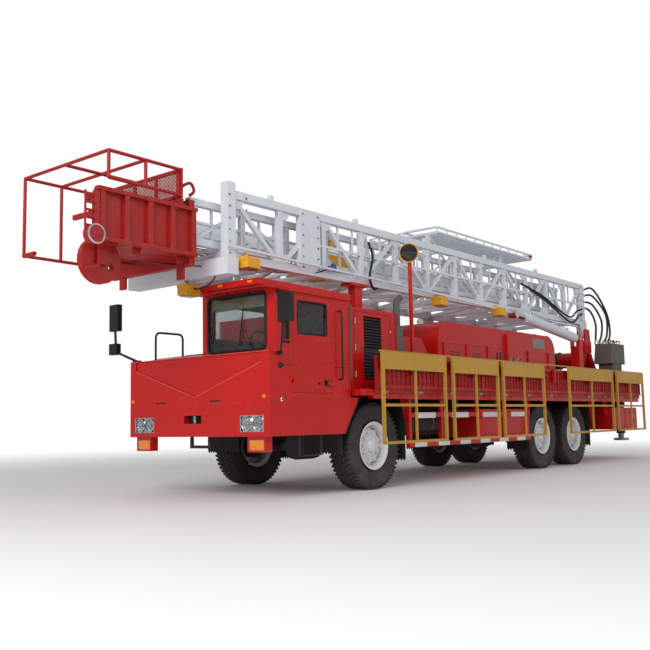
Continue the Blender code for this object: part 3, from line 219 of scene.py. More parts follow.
def mirrored(shape):
    copy = shape.copy()
    bmesh.ops.scale(copy, vec=(-1, 1, 1), verts=copy.verts[:])
    bmesh.ops.reverse_faces(copy, faces=copy.faces[:])
    return copy


def both(shapes):
    return shapes + [mirrored(shape) for shape in shapes]


def about(middle, half):
    """The range that reaches half each way from a middle."""
    return middle - half, middle + half


def spaced(low, high, count):
    """count evenly spaced values from low to high."""
    return [low + (high - low) * step / (count - 1) for step in range(count)]


# %% Turn shapes into a piece
SHARP = math.radians(38)
EDGE = 0.003
SLOT_OF = {
    "trim_black": "black", "chassis_black": "black", "bare_steel": "steel", "bright_trim": "chrome",
    "red_enamel": "red", "crease_highlight_red": "red", "crown_red": "dark_red", "walkway_red": "dark_red",
    "mast_white": "white", "rim_white": "white", "lamp_yellow": "yellow", "window_glass": "glass",
    "tyre_rubber": "rubber", "hose_rubber": "rubber", "seal_rubber": "rubber", "seat_cloth": "seat",
}
made_triangles = {}


def soften(made, width, segments=2):
    """A small bevel on every edge that is sharper than a rolled corner."""
    bevel = made.modifiers.new("edge", "BEVEL")
    bevel.width = width
    bevel.segments = segments
    bevel.limit_method = "ANGLE"
    bevel.angle_limit = SHARP
    bevel.harden_normals = True
    return made


def piece(name, body, finish, shapes, bevel=0.0, replaces=(), slot=None):
    """Joins shapes into one object with one finish, and hangs it on a body, if it has one of its own.

    A slot is looked up from the finish unless the call names one, but the piece does not keep it.
    """
    mesh = bpy.data.meshes.new(name)
    whole = bmesh.new()
    for shape in shapes:
        part = bpy.data.meshes.new("part")
        shape.to_mesh(part)
        shape.free()
        whole.from_mesh(part)
        bpy.data.meshes.remove(part)
    bmesh.ops.transform(whole, matrix=to_model, verts=whole.verts[:])
    for face in whole.faces:
        face.smooth = True
    whole.to_mesh(mesh)
    whole.free()
    mesh.set_sharp_from_angle(angle=SHARP)
    made = bpy.data.objects.new(name, mesh)
    bpy.context.scene.collection.objects.link(made)
    mesh.materials.append(finish)
    if bevel:
        soften(made, bevel)
    if body:
        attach(made, body)
    if replaces:
        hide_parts(*replaces)
    if slot is None:
        slot = SLOT_OF.get(finish.name)
    made_triangles[name] = sum(len(face.vertices) - 2 for face in mesh.polygons)
    return made


# %% [markdown]
# ## Effects that several finishes share
# Road dust, small chips on edges and the faint ripple of sprayed paint turn up in almost every finish here.
# Each is a node group with its own inputs, built once and placed in a material with that material's values.
# A group puts out only masks, colours and heights. The shader itself stays in the material.

# %% Node group helpers
def new_group(name, inputs, outputs):
    """An empty shader group with its sockets, and its input and output nodes."""
    tree = bpy.data.node_groups.new(name, "ShaderNodeTree")
    for label, kind, value in inputs:
        socket = tree.interface.new_socket(label, in_out="INPUT", socket_type=kind)
        socket.default_value = value
    for label, kind in outputs:
        tree.interface.new_socket(label, in_out="OUTPUT", socket_type=kind)
    return tree, tree.nodes.new("NodeGroupInput"), tree.nodes.new("NodeGroupOutput")


def noise(tree, scale, detail=3.0, stretch=None):
    """A noise texture in the object's own coordinates, so that it stays put when the part moves."""
    place = tree.nodes.new("ShaderNodeTexCoord")
    texture = tree.nodes.new("ShaderNodeTexNoise")
    texture.inputs["Scale"].default_value = scale
    texture.inputs["Detail"].default_value = detail
    if stretch:
        mapping = tree.nodes.new("ShaderNodeMapping")
        mapping.inputs["Scale"].default_value = stretch
        tree.links.new(place.outputs["Object"], mapping.inputs["Vector"])
        tree.links.new(mapping.outputs["Vector"], texture.inputs["Vector"])
    else:
        tree.links.new(place.outputs["Object"], texture.inputs["Vector"])
    return texture.outputs["Fac"]


def remap(tree, value, low, high, new_low=0.0, new_high=1.0):
    node = tree.nodes.new("ShaderNodeMapRange")
    node.interpolation_type = "SMOOTHSTEP"
    for label, number in (("From Min", low), ("From Max", high), ("To Min", new_low), ("To Max", new_high)):
        node.inputs[label].default_value = number
    tree.links.new(value, node.inputs["Value"])
    return node.outputs["Result"]


def combine(tree, operation, first, second):
    """A math node on two sockets, or on a socket and a number."""
    node = tree.nodes.new("ShaderNodeMath")
    node.operation = operation
    for slot_number, value in enumerate((first, second)):
        if isinstance(value, (int, float)):
            node.inputs[slot_number].default_value = value
        else:
            tree.links.new(value, node.inputs[slot_number])
    return node.outputs["Value"]


def mixed(tree, factor, first, second):
    """A colour mix of two sockets or colours."""
    node = tree.nodes.new("ShaderNodeMix")
    node.data_type = "RGBA"
    if isinstance(factor, (int, float)):
        node.inputs["Factor"].default_value = factor
    else:
        tree.links.new(factor, node.inputs["Factor"])
    for label, value in (("A", first), ("B", second)):
        socket = next(s for s in node.inputs if s.name == label and s.type == "RGBA")
        if isinstance(value, tuple):
            socket.default_value = (*value, 1)
        else:
            tree.links.new(value, socket)
    return next(s for s in node.outputs if s.type == "RGBA")


# %% Road dust: more of it low down, in soft patches
dust_group, source, sink = new_group(
    "Road dust",
    [("Colour", "NodeSocketColor", (0.5, 0.5, 0.5, 1)), ("Dust", "NodeSocketColor", (0.42, 0.36, 0.29, 1)),
     ("Amount", "NodeSocketFloat", 0.3), ("Clean Height", "NodeSocketFloat", 1.2)],
    [("Colour", "NodeSocketColor"), ("Mask", "NodeSocketFloat")],
)
place = dust_group.nodes.new("ShaderNodeTexCoord")
split = dust_group.nodes.new("ShaderNodeSeparateXYZ")
dust_group.links.new(place.outputs["Object"], split.inputs["Vector"])
low_down = combine(dust_group, "DIVIDE", split.outputs["Z"], source.outputs["Clean Height"])
low_down = remap(dust_group, low_down, 0.0, 1.0, 1.0, 0.05)
patches = remap(dust_group, noise(dust_group, 5.0, 7.0), 0.25, 0.85)
fine = remap(dust_group, noise(dust_group, 60.0, 2.0), 0.3, 0.8, 0.7, 1.0)
mask = combine(dust_group, "MULTIPLY", low_down, source.outputs["Amount"])
mask = combine(dust_group, "MULTIPLY", mask, combine(dust_group, "ADD", patches, 0.3))
mask = combine(dust_group, "MULTIPLY", mask, fine)
dust_group.links.new(mask, sink.inputs["Mask"])
dusty = mixed(dust_group, mask, source.outputs["Colour"], source.outputs["Dust"])
dust_group.links.new(dusty, sink.inputs["Colour"])

# %% Edge wear: bright chips where an edge sticks out
wear_group, source, sink = new_group(
    "Edge wear",
    [("Colour", "NodeSocketColor", (0.5, 0.5, 0.5, 1)), ("Bare", "NodeSocketColor", (0.35, 0.33, 0.31, 1)),
     ("Amount", "NodeSocketFloat", 0.5)],
    [("Colour", "NodeSocketColor"), ("Mask", "NodeSocketFloat")],
)
geometry = wear_group.nodes.new("ShaderNodeNewGeometry")
rounded = wear_group.nodes.new("ShaderNodeBevel")
rounded.samples = 4
rounded.inputs["Radius"].default_value = 0.012
turned = wear_group.nodes.new("ShaderNodeVectorMath")
turned.operation = "DOT_PRODUCT"
wear_group.links.new(geometry.outputs["Normal"], turned.inputs[0])
wear_group.links.new(rounded.outputs["Normal"], turned.inputs[1])
edge = remap(wear_group, turned.outputs["Value"], 0.80, 0.97, 1.0, 0.0)
chips = remap(wear_group, noise(wear_group, 28.0, 8.0), 0.50, 0.64)
mask = combine(wear_group, "MULTIPLY", combine(wear_group, "MULTIPLY", edge, chips), source.outputs["Amount"])
wear_group.links.new(mask, sink.inputs["Mask"])
worn = mixed(wear_group, mask, source.outputs["Colour"], source.outputs["Bare"])
wear_group.links.new(worn, sink.inputs["Colour"])

# %% Sprayed paint: panels that differ a little in tone, and a faint ripple
paint_group, source, sink = new_group(
    "Sprayed paint",
    [("Colour", "NodeSocketColor", (0.5, 0.5, 0.5, 1)), ("Deep", "NodeSocketColor", (0.4, 0.4, 0.4, 1)),
     ("Ripple", "NodeSocketFloat", 0.5)],
    [("Colour", "NodeSocketColor"), ("Height", "NodeSocketFloat"), ("Gloss", "NodeSocketFloat")],
)
tone = remap(paint_group, noise(paint_group, 0.9, 3.0), 0.3, 0.7, 0.0, 0.4)
paint_group.links.new(mixed(paint_group, tone, source.outputs["Colour"], source.outputs["Deep"]),
                      sink.inputs["Colour"])
ripple = combine(paint_group, "ADD", noise(paint_group, 9.0, 2.0),
                 combine(paint_group, "MULTIPLY", noise(paint_group, 160.0, 2.0), 0.12))
paint_group.links.new(combine(paint_group, "MULTIPLY", ripple, source.outputs["Ripple"]),
                      sink.inputs["Height"])
paint_group.links.new(remap(paint_group, noise(paint_group, 5.0, 5.0), 0.25, 0.75), sink.inputs["Gloss"])
print("node groups:", ", ".join(tree.name for tree in bpy.data.node_groups))

# %% [markdown]
# ## Finishes
# The rig is painted in a few enamels: bright red on the carrier, a duller red on the crown, white on the
# mast and ochre on the handrails. One function builds every painted finish from the shared groups, so a
# finish is only its colours, its gloss and how dirty it is.

# %% Painted finishes
def shader_of(material):
    return material.node_tree.nodes["Principled BSDF"]


def place_group(tree, group, **values):
    node = tree.nodes.new("ShaderNodeGroup")
    node.node_tree = group
    for label, value in values.items():
        value = (*value, 1) if isinstance(value, tuple) else value
        node.inputs[label.replace("_", " ")].default_value = value
    return node


def bump(tree, height, strength, distance, shader):
    node = tree.nodes.new("ShaderNodeBump")
    node.inputs["Strength"].default_value = strength
    node.inputs["Distance"].default_value = distance
    tree.links.new(height, node.inputs["Height"])
    tree.links.new(node.outputs["Normal"], shader.inputs["Normal"])


def painted(name, colour, deep, gloss, dust=0.3, clean_height=1.2, wear=0.35, coat=0.3, ripple=0.4):
    """Enamel on sheet metal. gloss is the lowest and highest roughness."""
    material = bpy.data.materials.new(name)
    material.use_nodes = True
    tree, shader = material.node_tree, shader_of(material)
    paint = place_group(tree, paint_group, Colour=colour, Deep=deep, Ripple=ripple)
    worn = place_group(tree, wear_group, Amount=wear)
    dirty = place_group(tree, dust_group, Amount=dust, Clean_Height=clean_height)
    tree.links.new(paint.outputs["Colour"], worn.inputs["Colour"])
    tree.links.new(worn.outputs["Colour"], dirty.inputs["Colour"])
    tree.links.new(dirty.outputs["Colour"], shader.inputs["Base Color"])
    rough = remap(tree, paint.outputs["Gloss"], 0.0, 1.0, *gloss)
    rough = combine(tree, "ADD", rough, combine(tree, "MULTIPLY", dirty.outputs["Mask"], 0.5))
    tree.links.new(rough, shader.inputs["Roughness"])
    shader.inputs["Coat Weight"].default_value = coat
    shader.inputs["Coat Roughness"].default_value = 0.08
    shader.inputs["Specular IOR Level"].default_value = 0.35
    bump(tree, paint.outputs["Height"], 0.25, 0.002, shader)
    return material


red_enamel = painted("red_enamel", (0.60, 0.006, 0.004), (0.50, 0.005, 0.003), (0.24, 0.34), dust=0.03,
                     coat=0.14)
# The crease bead gets a lighter red than the panel: a painted highlight along the V crease and the nose's top
# edge.
crease_highlight_red = painted("crease_highlight_red", (0.80, 0.085, 0.060), (0.74, 0.060, 0.045), (0.24, 0.34), dust=0.03,
                     coat=0.2)
crown_red = painted("crown_red", (0.42, 0.013, 0.010), (0.30, 0.009, 0.008), (0.40, 0.58), dust=0.06,
                    coat=0.05)
walkway_red = painted("walkway_red", (0.44, 0.007, 0.005), (0.36, 0.006, 0.004), (0.36, 0.52), dust=0.06,
                      coat=0.1)
mast_white = painted("mast_white", (0.76, 0.80, 0.85), (0.68, 0.73, 0.80), (0.30, 0.44), dust=0.05, wear=0.25,
                     coat=0.12)
rim_white = painted("rim_white", (0.80, 0.81, 0.82), (0.72, 0.72, 0.72), (0.28, 0.4), dust=0.14)
rail_ochre = painted("rail_ochre", (0.56, 0.31, 0.035), (0.46, 0.25, 0.03), (0.38, 0.55), dust=0.06, coat=0.1)
lamp_yellow = painted("lamp_yellow", (0.85, 0.42, 0.02), (0.72, 0.34, 0.02), (0.3, 0.45), dust=0.05)
chassis_black = painted("chassis_black", (0.020, 0.020, 0.021), (0.012, 0.012, 0.012), (0.45, 0.65),
                        dust=0.35, clean_height=1.4, coat=0.0)
trim_black = painted("trim_black", (0.014, 0.014, 0.015), (0.010, 0.010, 0.010), (0.32, 0.45), dust=0.06,
                     wear=0.2, coat=0.0)
console_grey = painted("console_grey", (0.115, 0.10, 0.085), (0.08, 0.07, 0.06), (0.42, 0.6), dust=0.25,
                       clean_height=3.0, coat=0.0)
engine_grey = painted("engine_grey", (0.10, 0.11, 0.11), (0.06, 0.06, 0.06), (0.45, 0.65), dust=0.3,
                      clean_height=3.0, coat=0.0)
valve_blue = painted("valve_blue", (0.03, 0.12, 0.42), (0.02, 0.08, 0.30), (0.3, 0.45), dust=0.05)

# %% [markdown]
# Bare metal, rubber and glass need other shaders. Metal takes its character from how it was worked: turned,
# rolled or plated. Rubber has no gloss to speak of, and its bump comes from the mould. Glass keeps a plain
# transmission.

# %% Metal, rubber, glass and lamp finishes
def plain(name, colour, roughness, metallic=0.0):
    material = bpy.data.materials.new(name)
    material.use_nodes = True
    shader = shader_of(material)
    shader.inputs["Base Color"].default_value = (*colour, 1)
    shader.inputs["Roughness"].default_value = roughness
    shader.inputs["Metallic"].default_value = metallic
    return material, material.node_tree, shader


def metal(name, colour, stain, gloss, stretch):
    """Bare metal with fine lines along one direction and duller stains."""
    material, tree, shader = plain(name, colour, 0.3, 1.0)
    stains = remap(tree, noise(tree, 6.0, 6.0), 0.45, 0.75)
    tree.links.new(mixed(tree, stains, colour, stain), shader.inputs["Base Color"])
    lines = noise(tree, 40.0, 4.0, stretch)
    tree.links.new(remap(tree, lines, 0.2, 0.8, *gloss), shader.inputs["Roughness"])
    bump(tree, lines, 0.15, 0.0005, shader)
    return material


bare_steel = metal("bare_steel", (0.42, 0.41, 0.40), (0.16, 0.11, 0.08), (0.35, 0.6), (1, 1, 12))
polished_rod = metal("polished_rod", (0.78, 0.79, 0.80), (0.60, 0.60, 0.60), (0.07, 0.16), (1, 12, 1))
bright_trim = metal("bright_trim", (0.72, 0.73, 0.75), (0.5, 0.5, 0.5), (0.10, 0.22), (1, 1, 1))
wire_steel = metal("wire_steel", (0.16, 0.15, 0.14), (0.06, 0.05, 0.05), (0.4, 0.6), (1, 1, 1))


def rubber(name, colour, dust, grain):
    material, tree, shader = plain(name, colour, 0.75)
    dirty = place_group(tree, dust_group, Colour=colour, Amount=dust, Clean_Height=1.3)
    tree.links.new(dirty.outputs["Colour"], shader.inputs["Base Color"])
    mottle = noise(tree, grain, 4.0)
    tree.links.new(remap(tree, mottle, 0.2, 0.8, 0.62, 0.85), shader.inputs["Roughness"])
    bump(tree, mottle, 0.3, 0.001, shader)
    return material


tyre_rubber = rubber("tyre_rubber", (0.018, 0.018, 0.019), 0.16, 120.0)
hose_rubber = rubber("hose_rubber", (0.012, 0.012, 0.013), 0.05, 90.0)
seal_rubber = rubber("seal_rubber", (0.010, 0.010, 0.011), 0.02, 200.0)


def clear(name, colour, roughness, dirt):
    """Glass with a film of dirt that only changes its gloss and tint."""
    material, tree, shader = plain(name, colour, roughness)
    film = remap(tree, noise(tree, 4.0, 6.0), 0.45, 0.8)
    tree.links.new(mixed(tree, film, colour, dirt), shader.inputs["Base Color"])
    tree.links.new(remap(tree, film, 0.0, 1.0, roughness, roughness + 0.12), shader.inputs["Roughness"])
    shader.inputs["Transmission Weight"].default_value = 1.0
    shader.inputs["IOR"].default_value = 1.45
    return material


window_glass = clear("window_glass", (0.80, 0.86, 0.86), 0.01, (0.60, 0.62, 0.60))
lens_clear = clear("lens_clear", (0.93, 0.95, 0.96), 0.03, (0.8, 0.8, 0.78))


def lens(name, colour, deep, glow):
    """A moulded coloured lens: cells that scatter light, with a weak glow of its own."""
    material, tree, shader = plain(name, colour, 0.18)
    place = tree.nodes.new("ShaderNodeTexCoord")
    cells = tree.nodes.new("ShaderNodeTexVoronoi")
    cells.inputs["Scale"].default_value = 120.0
    tree.links.new(place.outputs["Object"], cells.inputs["Vector"])
    pattern = remap(tree, cells.outputs["Distance"], 0.0, 0.7)
    tinted = mixed(tree, pattern, colour, deep)
    tree.links.new(tinted, shader.inputs["Base Color"])
    tree.links.new(tinted, shader.inputs["Emission Color"])
    shader.inputs["Emission Strength"].default_value = glow
    bump(tree, cells.outputs["Distance"], 0.5, 0.003, shader)
    return material


lens_amber = lens("lens_amber", (0.95, 0.42, 0.02), (0.60, 0.16, 0.01), 0.25)
lens_red = lens("lens_red", (0.60, 0.02, 0.02), (0.30, 0.01, 0.01), 0.08)
# The reflective plates are no lamps, yet they get a weak glow: painted light on the sheeting.
glowing_reflective_white = lens("glowing_reflective_white", (0.88, 0.88, 0.90), (0.72, 0.72, 0.76), 0.03)

# %% Cloth for the seat, and the cab's trim
def cloth(name, warp, weft, scale):
    """Woven cloth: two crossed wave patterns give the threads and their bump."""
    material, tree, shader = plain(name, warp, 0.9)
    place = tree.nodes.new("ShaderNodeTexCoord")
    threads = []
    for direction in ("X", "Z"):
        wave = tree.nodes.new("ShaderNodeTexWave")
        wave.bands_direction = direction
        wave.inputs["Scale"].default_value = scale
        wave.inputs["Distortion"].default_value = 0.6
        tree.links.new(place.outputs["Object"], wave.inputs["Vector"])
        threads.append(wave.outputs["Fac"])
    weave = combine(tree, "MULTIPLY", *threads)
    tree.links.new(mixed(tree, weave, warp, weft), shader.inputs["Base Color"])
    shader.inputs["Sheen Weight"].default_value = 0.3
    bump(tree, weave, 0.5, 0.001, shader)
    return material


plate_grey = painted("plate_grey", (0.30, 0.26, 0.22), (0.24, 0.21, 0.18), (0.4, 0.6), dust=0.1, wear=0.0,
                     coat=0.0)
mesh_pale = painted("mesh_pale", (0.62, 0.50, 0.47), (0.50, 0.30, 0.28), (0.4, 0.6), dust=0.1, wear=0.0,
                    coat=0.0)
visor_beige = painted("visor_beige", (0.34, 0.29, 0.19), (0.26, 0.22, 0.15), (0.5, 0.7), dust=0.0, wear=0.0,
                      coat=0.0)
lining_grey = painted("lining_grey", (0.085, 0.080, 0.075), (0.06, 0.06, 0.055), (0.7, 0.85), dust=0.0,
                      wear=0.0, coat=0.0)
seat_cloth = cloth("seat_cloth", (0.055, 0.055, 0.060), (0.13, 0.13, 0.13), 140.0)
print(len(bpy.data.materials), "finishes")

# %% [markdown]
# ## Paint on the CAD parts
# Sheet metal and structural steel already have their real shapes, so they only need paint and a softened
# edge. The table says which finish each node wears and how round its edges are.

# %% Dress the CAD nodes
dress = {
    (red_enamel, 0.006): ("bumper", "nose_panel", "hood", "cab_shell", "cab_door_left", "engine_housing",
                          "drawworks_housing", "rear_lockers"),
    (red_enamel, 0.004): ("deck", "side_lockers", "mast_base", "mast_rest", "deck_lamp"),
    (walkway_red, 0.003): ("walkway_left", "walkway_right"),
    (crown_red, 0.004): ("crown_frame",),
    (crown_red, 0.003): ("crown_sheaves",),
    (mast_white, 0.004): ("mast_lower", "mast_upper", "racking_board", "raising_cylinder_left",
                          "raising_cylinder_right"),
    (rail_ochre, 0.003): ("handrail_left", "handrail_right"),
    (chassis_black, 0.005): ("chassis_frame", "front_axle", "rear_1_axle", "rear_2_axle",
                             "steering_knuckle_left", "steering_knuckle_right"),
    (bare_steel, 0.003): ("jack_leg_left", "jack_leg_right"),
    (polished_rod, 0.0): ("piston_rod_left", "piston_rod_right"),
    (trim_black, 0.003): ("mirror_left", "mirror_right"),
    (console_grey, 0.005): ("control_console",),
    (engine_grey, 0.01): ("engine_block",),
    (window_glass, 0.0): ("windscreen", "door_glass"),
}
for (finish, width), names in dress.items():
    for name in names:
        node = nodes[name]
        node.data.materials.clear()
        node.data.materials.append(finish)
        node.data.shade_smooth()
        node.data.set_sharp_from_angle(angle=SHARP)
        if width:
            soften(node, width, 1)
print(sum(len(names) for names in dress.values()), "nodes dressed")

# %% [markdown]
# ## Camera, floor and light
# A vehicle picture is taken from near the ground beside the front wheel, so that the cab looks tall and the
# body runs away to the rear. A large pale floor and a white sky stand in for a studio. One broad light from
# the front left shapes the cab, and a weaker one lights the long side.

# %% Camera
EYE = Vector((7.947, -7.176, 0.903))
LENS = 47.52
YAW, PITCH, ROLL = math.radians(39.213), math.radians(6.384), math.radians(-1.125)
ahead = Vector((-math.sin(YAW) * math.cos(PITCH), math.cos(YAW) * math.cos(PITCH), math.sin(PITCH)))
across = Vector((math.cos(YAW), math.sin(YAW), 0))
upward = across.cross(ahead)
rolled_across = across * math.cos(ROLL) + upward * math.sin(ROLL)
rolled_up = upward * math.cos(ROLL) - across * math.sin(ROLL)
camera = bpy.data.objects.new("camera", bpy.data.cameras.new("camera"))
camera.data.lens = LENS
camera.data.clip_end = 500
turned_camera = Matrix((rolled_across, rolled_up, -ahead)).transposed().to_4x4()
camera.matrix_world = to_model @ Matrix.Translation(EYE) @ turned_camera
bpy.context.scene.collection.objects.link(camera)
bpy.context.scene.camera = camera

# %% Floor, sky and lights
FLOOR_SIZE = 200
GLOW_STARTS, GLOW_ENDS = 5.0, 22.0
GLOW_NEAR, GLOW_FAR = 0.03, 0.60
floor_material, floor_tree, floor_shader = plain("studio_floor", (0.86, 0.86, 0.86), 0.9)
floor_tone = remap(floor_tree, noise(floor_tree, 0.4, 2.0), 0.3, 0.7)
floor_tree.links.new(mixed(floor_tree, floor_tone, (0.87, 0.87, 0.87), (0.84, 0.84, 0.84)),
                     floor_shader.inputs["Base Color"])
floor_shader.inputs["Emission Color"].default_value = (1, 1, 1, 1)
floor_spot = floor_tree.nodes.new("ShaderNodeTexCoord")
floor_reach = floor_tree.nodes.new("ShaderNodeVectorMath")
floor_reach.operation = "LENGTH"
floor_tree.links.new(floor_spot.outputs["Object"], floor_reach.inputs[0])
floor_glow = remap(floor_tree, floor_reach.outputs["Value"], GLOW_STARTS, GLOW_ENDS, GLOW_NEAR, GLOW_FAR)
floor_path = floor_tree.nodes.new("ShaderNodeLightPath")
floor_tree.links.new(combine(floor_tree, "MULTIPLY", floor_glow, floor_path.outputs["Is Camera Ray"]),
                     floor_shader.inputs["Emission Strength"])
floor_mesh = bpy.data.meshes.new("floor")
floor_shape = bmesh.new()
bmesh.ops.create_grid(floor_shape, x_segments=1, y_segments=1, size=FLOOR_SIZE)
floor_shape.to_mesh(floor_mesh)
floor_shape.free()
floor = bpy.data.objects.new("floor", floor_mesh)
floor.location.z = -0.001
floor_mesh.materials.append(floor_material)
bpy.context.scene.collection.objects.link(floor)

SKY_SEEN, SKY_LIGHT = 1.0, 0.46
sky = bpy.data.worlds.new("studio")
sky.use_nodes = True
backdrop = sky.node_tree.nodes["Background"]
backdrop.inputs["Color"].default_value = (1.0, 1.0, 1.0, 1)
path = sky.node_tree.nodes.new("ShaderNodeLightPath")
sky.node_tree.links.new(remap(sky.node_tree, path.outputs["Is Camera Ray"], 0, 1, SKY_LIGHT, SKY_SEEN),
                        backdrop.inputs["Strength"])
bpy.context.scene.world = sky
bpy.context.scene.view_settings.view_transform = "Standard"


def softbox(name, place, target, size, power):
    light = bpy.data.lights.new(name, "AREA")
    light.shape = "RECTANGLE"
    light.size, light.size_y = size
    light.energy = power
    lamp = bpy.data.objects.new(name, light)
    bpy.context.scene.collection.objects.link(lamp)
    lamp.matrix_world = to_model @ Matrix.Translation(place)
    lamp.rotation_euler = (Vector(target) - Vector(place)).to_track_quat("-Z", "Y").to_euler()
    return lamp


KEY_WATTS, SIDE_WATTS = 1100, 330
softbox("key", (5.0, -12.0, 9.0), (0.0, 2.0, 1.5), (8, 6), KEY_WATTS)
softbox("side", (16.0, 6.0, 9.0), (1.0, 6.0, 1.5), (12, 6), SIDE_WATTS)
print("camera", [round(value, 2) for value in camera.matrix_world.translation])

# %% [markdown]
# ## Wheels
# A truck tyre is a carcass with separate tread blocks round it. The carcass is one turned profile: bead,
# sidewall, shoulder and tread base. The blocks are copied round it in five staggered rows with a row of
# small ones on each shoulder. Each reaches the tyre's own radius, so it touches the ground just as the CAD
# tyre does. The wheel disc is turned too, then gets its ring of nuts.

# %% Tyres
tyre_low, tyre_high = measured("rear_1_tyre_left")
RADIUS = (tyre_high.z - tyre_low.z) / 2
AXLE_Z = (tyre_high.z + tyre_low.z) / 2
HALF_TYRE = (tyre_high.x - tyre_low.x) / 2
RIM = 0.300
GROOVE = 0.016
LUGS = 54
TREAD_ROWS = ((-0.70, 0.30), (-0.36, 0.24), (0.0, 0.22), (0.36, 0.24), (0.70, 0.30))


def carcass(centre, sign):
    half, base = HALF_TYRE, RADIUS - GROOVE
    side = [(RIM + 0.002, 0.62), (RIM + 0.022, 0.70), (RIM + 0.05, 0.90), (RIM + 0.10, 0.985),
            (RIM + 0.14, 0.995), (RIM + 0.143, 0.985), (RIM + 0.16, 0.985), (RIM + 0.163, 0.995),
            (base - 0.04, 0.965), (base - 0.012, 0.90)]
    profile = [(radius, -half * share) for radius, share in side]
    profile += [(base, -half * 0.82), (base, half * 0.82)]
    profile += [(radius, half * share) for radius, share in reversed(side)]
    profile += [(RIM + 0.002, -half * 0.62)]
    return lathe([(radius, sign * along) for radius, along in profile], centre, "X", 72)


def tread_block(centre, angle, x, width, length, skew):
    """One block: a slab on the carcass, turned a little, with a slightly narrower top."""
    low, high = RADIUS - GROOVE - 0.004, RADIUS
    shape = bmesh.new()
    corners = []
    for radius, shrink in ((low, 1.0), (high, 0.90)):
        half_x, half_t = width / 2 * shrink, length / 2 * shrink
        for a, b in ((-1, -1), (1, -1), (1, 1), (-1, 1)):
            turn = angle + (b * half_t + a * skew) / RADIUS
            corners.append(shape.verts.new((x + a * half_x, radius * math.cos(turn),
                                            radius * math.sin(turn))))
    for face in ((0, 1, 2, 3), (7, 6, 5, 4), (0, 4, 5, 1), (1, 5, 6, 2), (2, 6, 7, 3), (3, 7, 4, 0)):
        shape.faces.new([corners[i] for i in face])
    bmesh.ops.recalc_face_normals(shape, faces=shape.faces[:])
    bmesh.ops.translate(shape, vec=centre, verts=shape.verts[:])
    return shape


def tyre(centre, sign):
    shapes = [carcass(centre, sign)]
    pitch = math.tau / LUGS
    for lug in range(LUGS):
        angle = lug * pitch
        for row, (share, width) in enumerate(TREAD_ROWS):
            stagger = pitch / 2 if row % 2 else 0.0
            long = pitch * RADIUS * (0.66 if row in (0, 4) else 0.80)
            skew = 0.008 if row < 2 else -0.008
            shapes.append(tread_block(centre, angle + stagger, share * HALF_TYRE * sign,
                                      width * HALF_TYRE * 1.1, long, skew))
        for edge in (-1, 1):
            x = edge * HALF_TYRE * 0.90
            shapes.append(tread_block(centre, angle, x, HALF_TYRE * 0.14, pitch * RADIUS * 0.45, 0.0))
    return shapes


# %% Wheel discs, hubs and nuts
NUTS, NUT_CIRCLE = 10, 0.168
HOLE_CIRCLE, HOLE_TURN = 0.222, 0.31
HUB_BOLTS, BOLT_CIRCLE = 8, 0.064


def wheel(centre, sign, driven):
    profile = [(0.0, 0.150), (0.055, 0.150), (0.075, 0.142), (0.088, 0.120), (0.092, 0.095), (0.128, 0.090),
               (0.135, 0.078), (0.205, 0.076), (0.222, 0.066), (0.236, 0.030), (0.262, 0.012), (0.272, 0.040),
               (0.276, 0.120), (0.296, 0.146), (0.312, 0.150), (0.316, 0.158), (0.305, 0.163), (0.290, 0.158),
               (0.268, 0.135), (0.264, 0.060)]
    if driven:
        profile = [(radius, along - 0.004) for radius, along in profile]
    shapes = [lathe([(radius, sign * along) for radius, along in profile], centre, "X", 64)]
    inner = [(0.264, 0.060), (0.262, -0.12), (0.305, -0.150), (0.312, -0.158)]
    shapes.append(lathe([(radius, sign * along) for radius, along in inner], centre, "X", 48))
    centre = Vector(centre)
    for nut in range(NUTS):
        angle = math.tau * nut / NUTS
        seat = centre + Vector((sign * 0.074, NUT_CIRCLE * math.cos(angle), NUT_CIRCLE * math.sin(angle)))
        out = Vector((sign, 0, 0))
        shapes.append(rod(seat, seat + out * 0.026, 0.019, 6))
        shapes.append(rod(seat, seat + out * 0.042, 0.011, 10))
        hole_turn = angle + HOLE_TURN
        hole = centre + Vector((sign * 0.052, HOLE_CIRCLE * math.cos(hole_turn),
                                HOLE_CIRCLE * math.sin(hole_turn)))
        shapes.append(rod(hole, hole + out * 0.018, 0.024, 16))
    for bolt in range(HUB_BOLTS):
        angle = math.tau * bolt / HUB_BOLTS
        seat = centre + Vector((sign * 0.135, BOLT_CIRCLE * math.cos(angle), BOLT_CIRCLE * math.sin(angle)))
        shapes.append(rod(seat, seat + Vector((sign * 0.014, 0, 0)), 0.008, 6))
    return shapes


for place in ("front", "rear_1", "rear_2"):
    for side, sign in BOTH_SIDES:
        low, high = measured(f"{place}_tyre_{side}")
        hub = (low + high) / 2
        body = f"{place}_wheel_{side}"
        piece(f"{place}_tread_{side}", body, tyre_rubber, tyre(hub, sign), replaces=[f"{place}_tyre_{side}"])
        piece(f"{place}_wheel_disc_{side}", body, rim_white, wheel(hub, sign, place != "front"),
              bevel=0.0015, replaces=[f"{place}_rim_{side}"])
        stem = hub + Vector((sign * 0.10, 0, RIM - 0.045))
        piece(f"{place}_valve_{side}", body, bright_trim,
              [rod(stem, stem + Vector((sign * 0.035, 0, -0.02)), 0.006, 8)])
print(f"a tyre has {made_triangles['front_tread_left']} triangles and touches the floor at "
      f"{AXLE_Z - RADIUS:.4f} m")

# %% [markdown]
# ## Nose: lamps, slots and trim
# Each headlamp is a bright box with two dished reflectors behind clear glass, so it needs depth and not
# only a shiny face. The fog lamps sit in the bumper's lower frames. Small parts are placed from the lamp's
# own CAD box.

# %% Shapes for seals and lamps
def loop(corners, radius, tube, sides=2):
    """A closed round strip, such as a window seal, with rounded corners."""
    middle = (Vector(corners[-1]) + Vector(corners[0])) / 2
    path = rounded_path([middle, *corners, middle], radius, 4)
    return pipe(path, tube, sides)


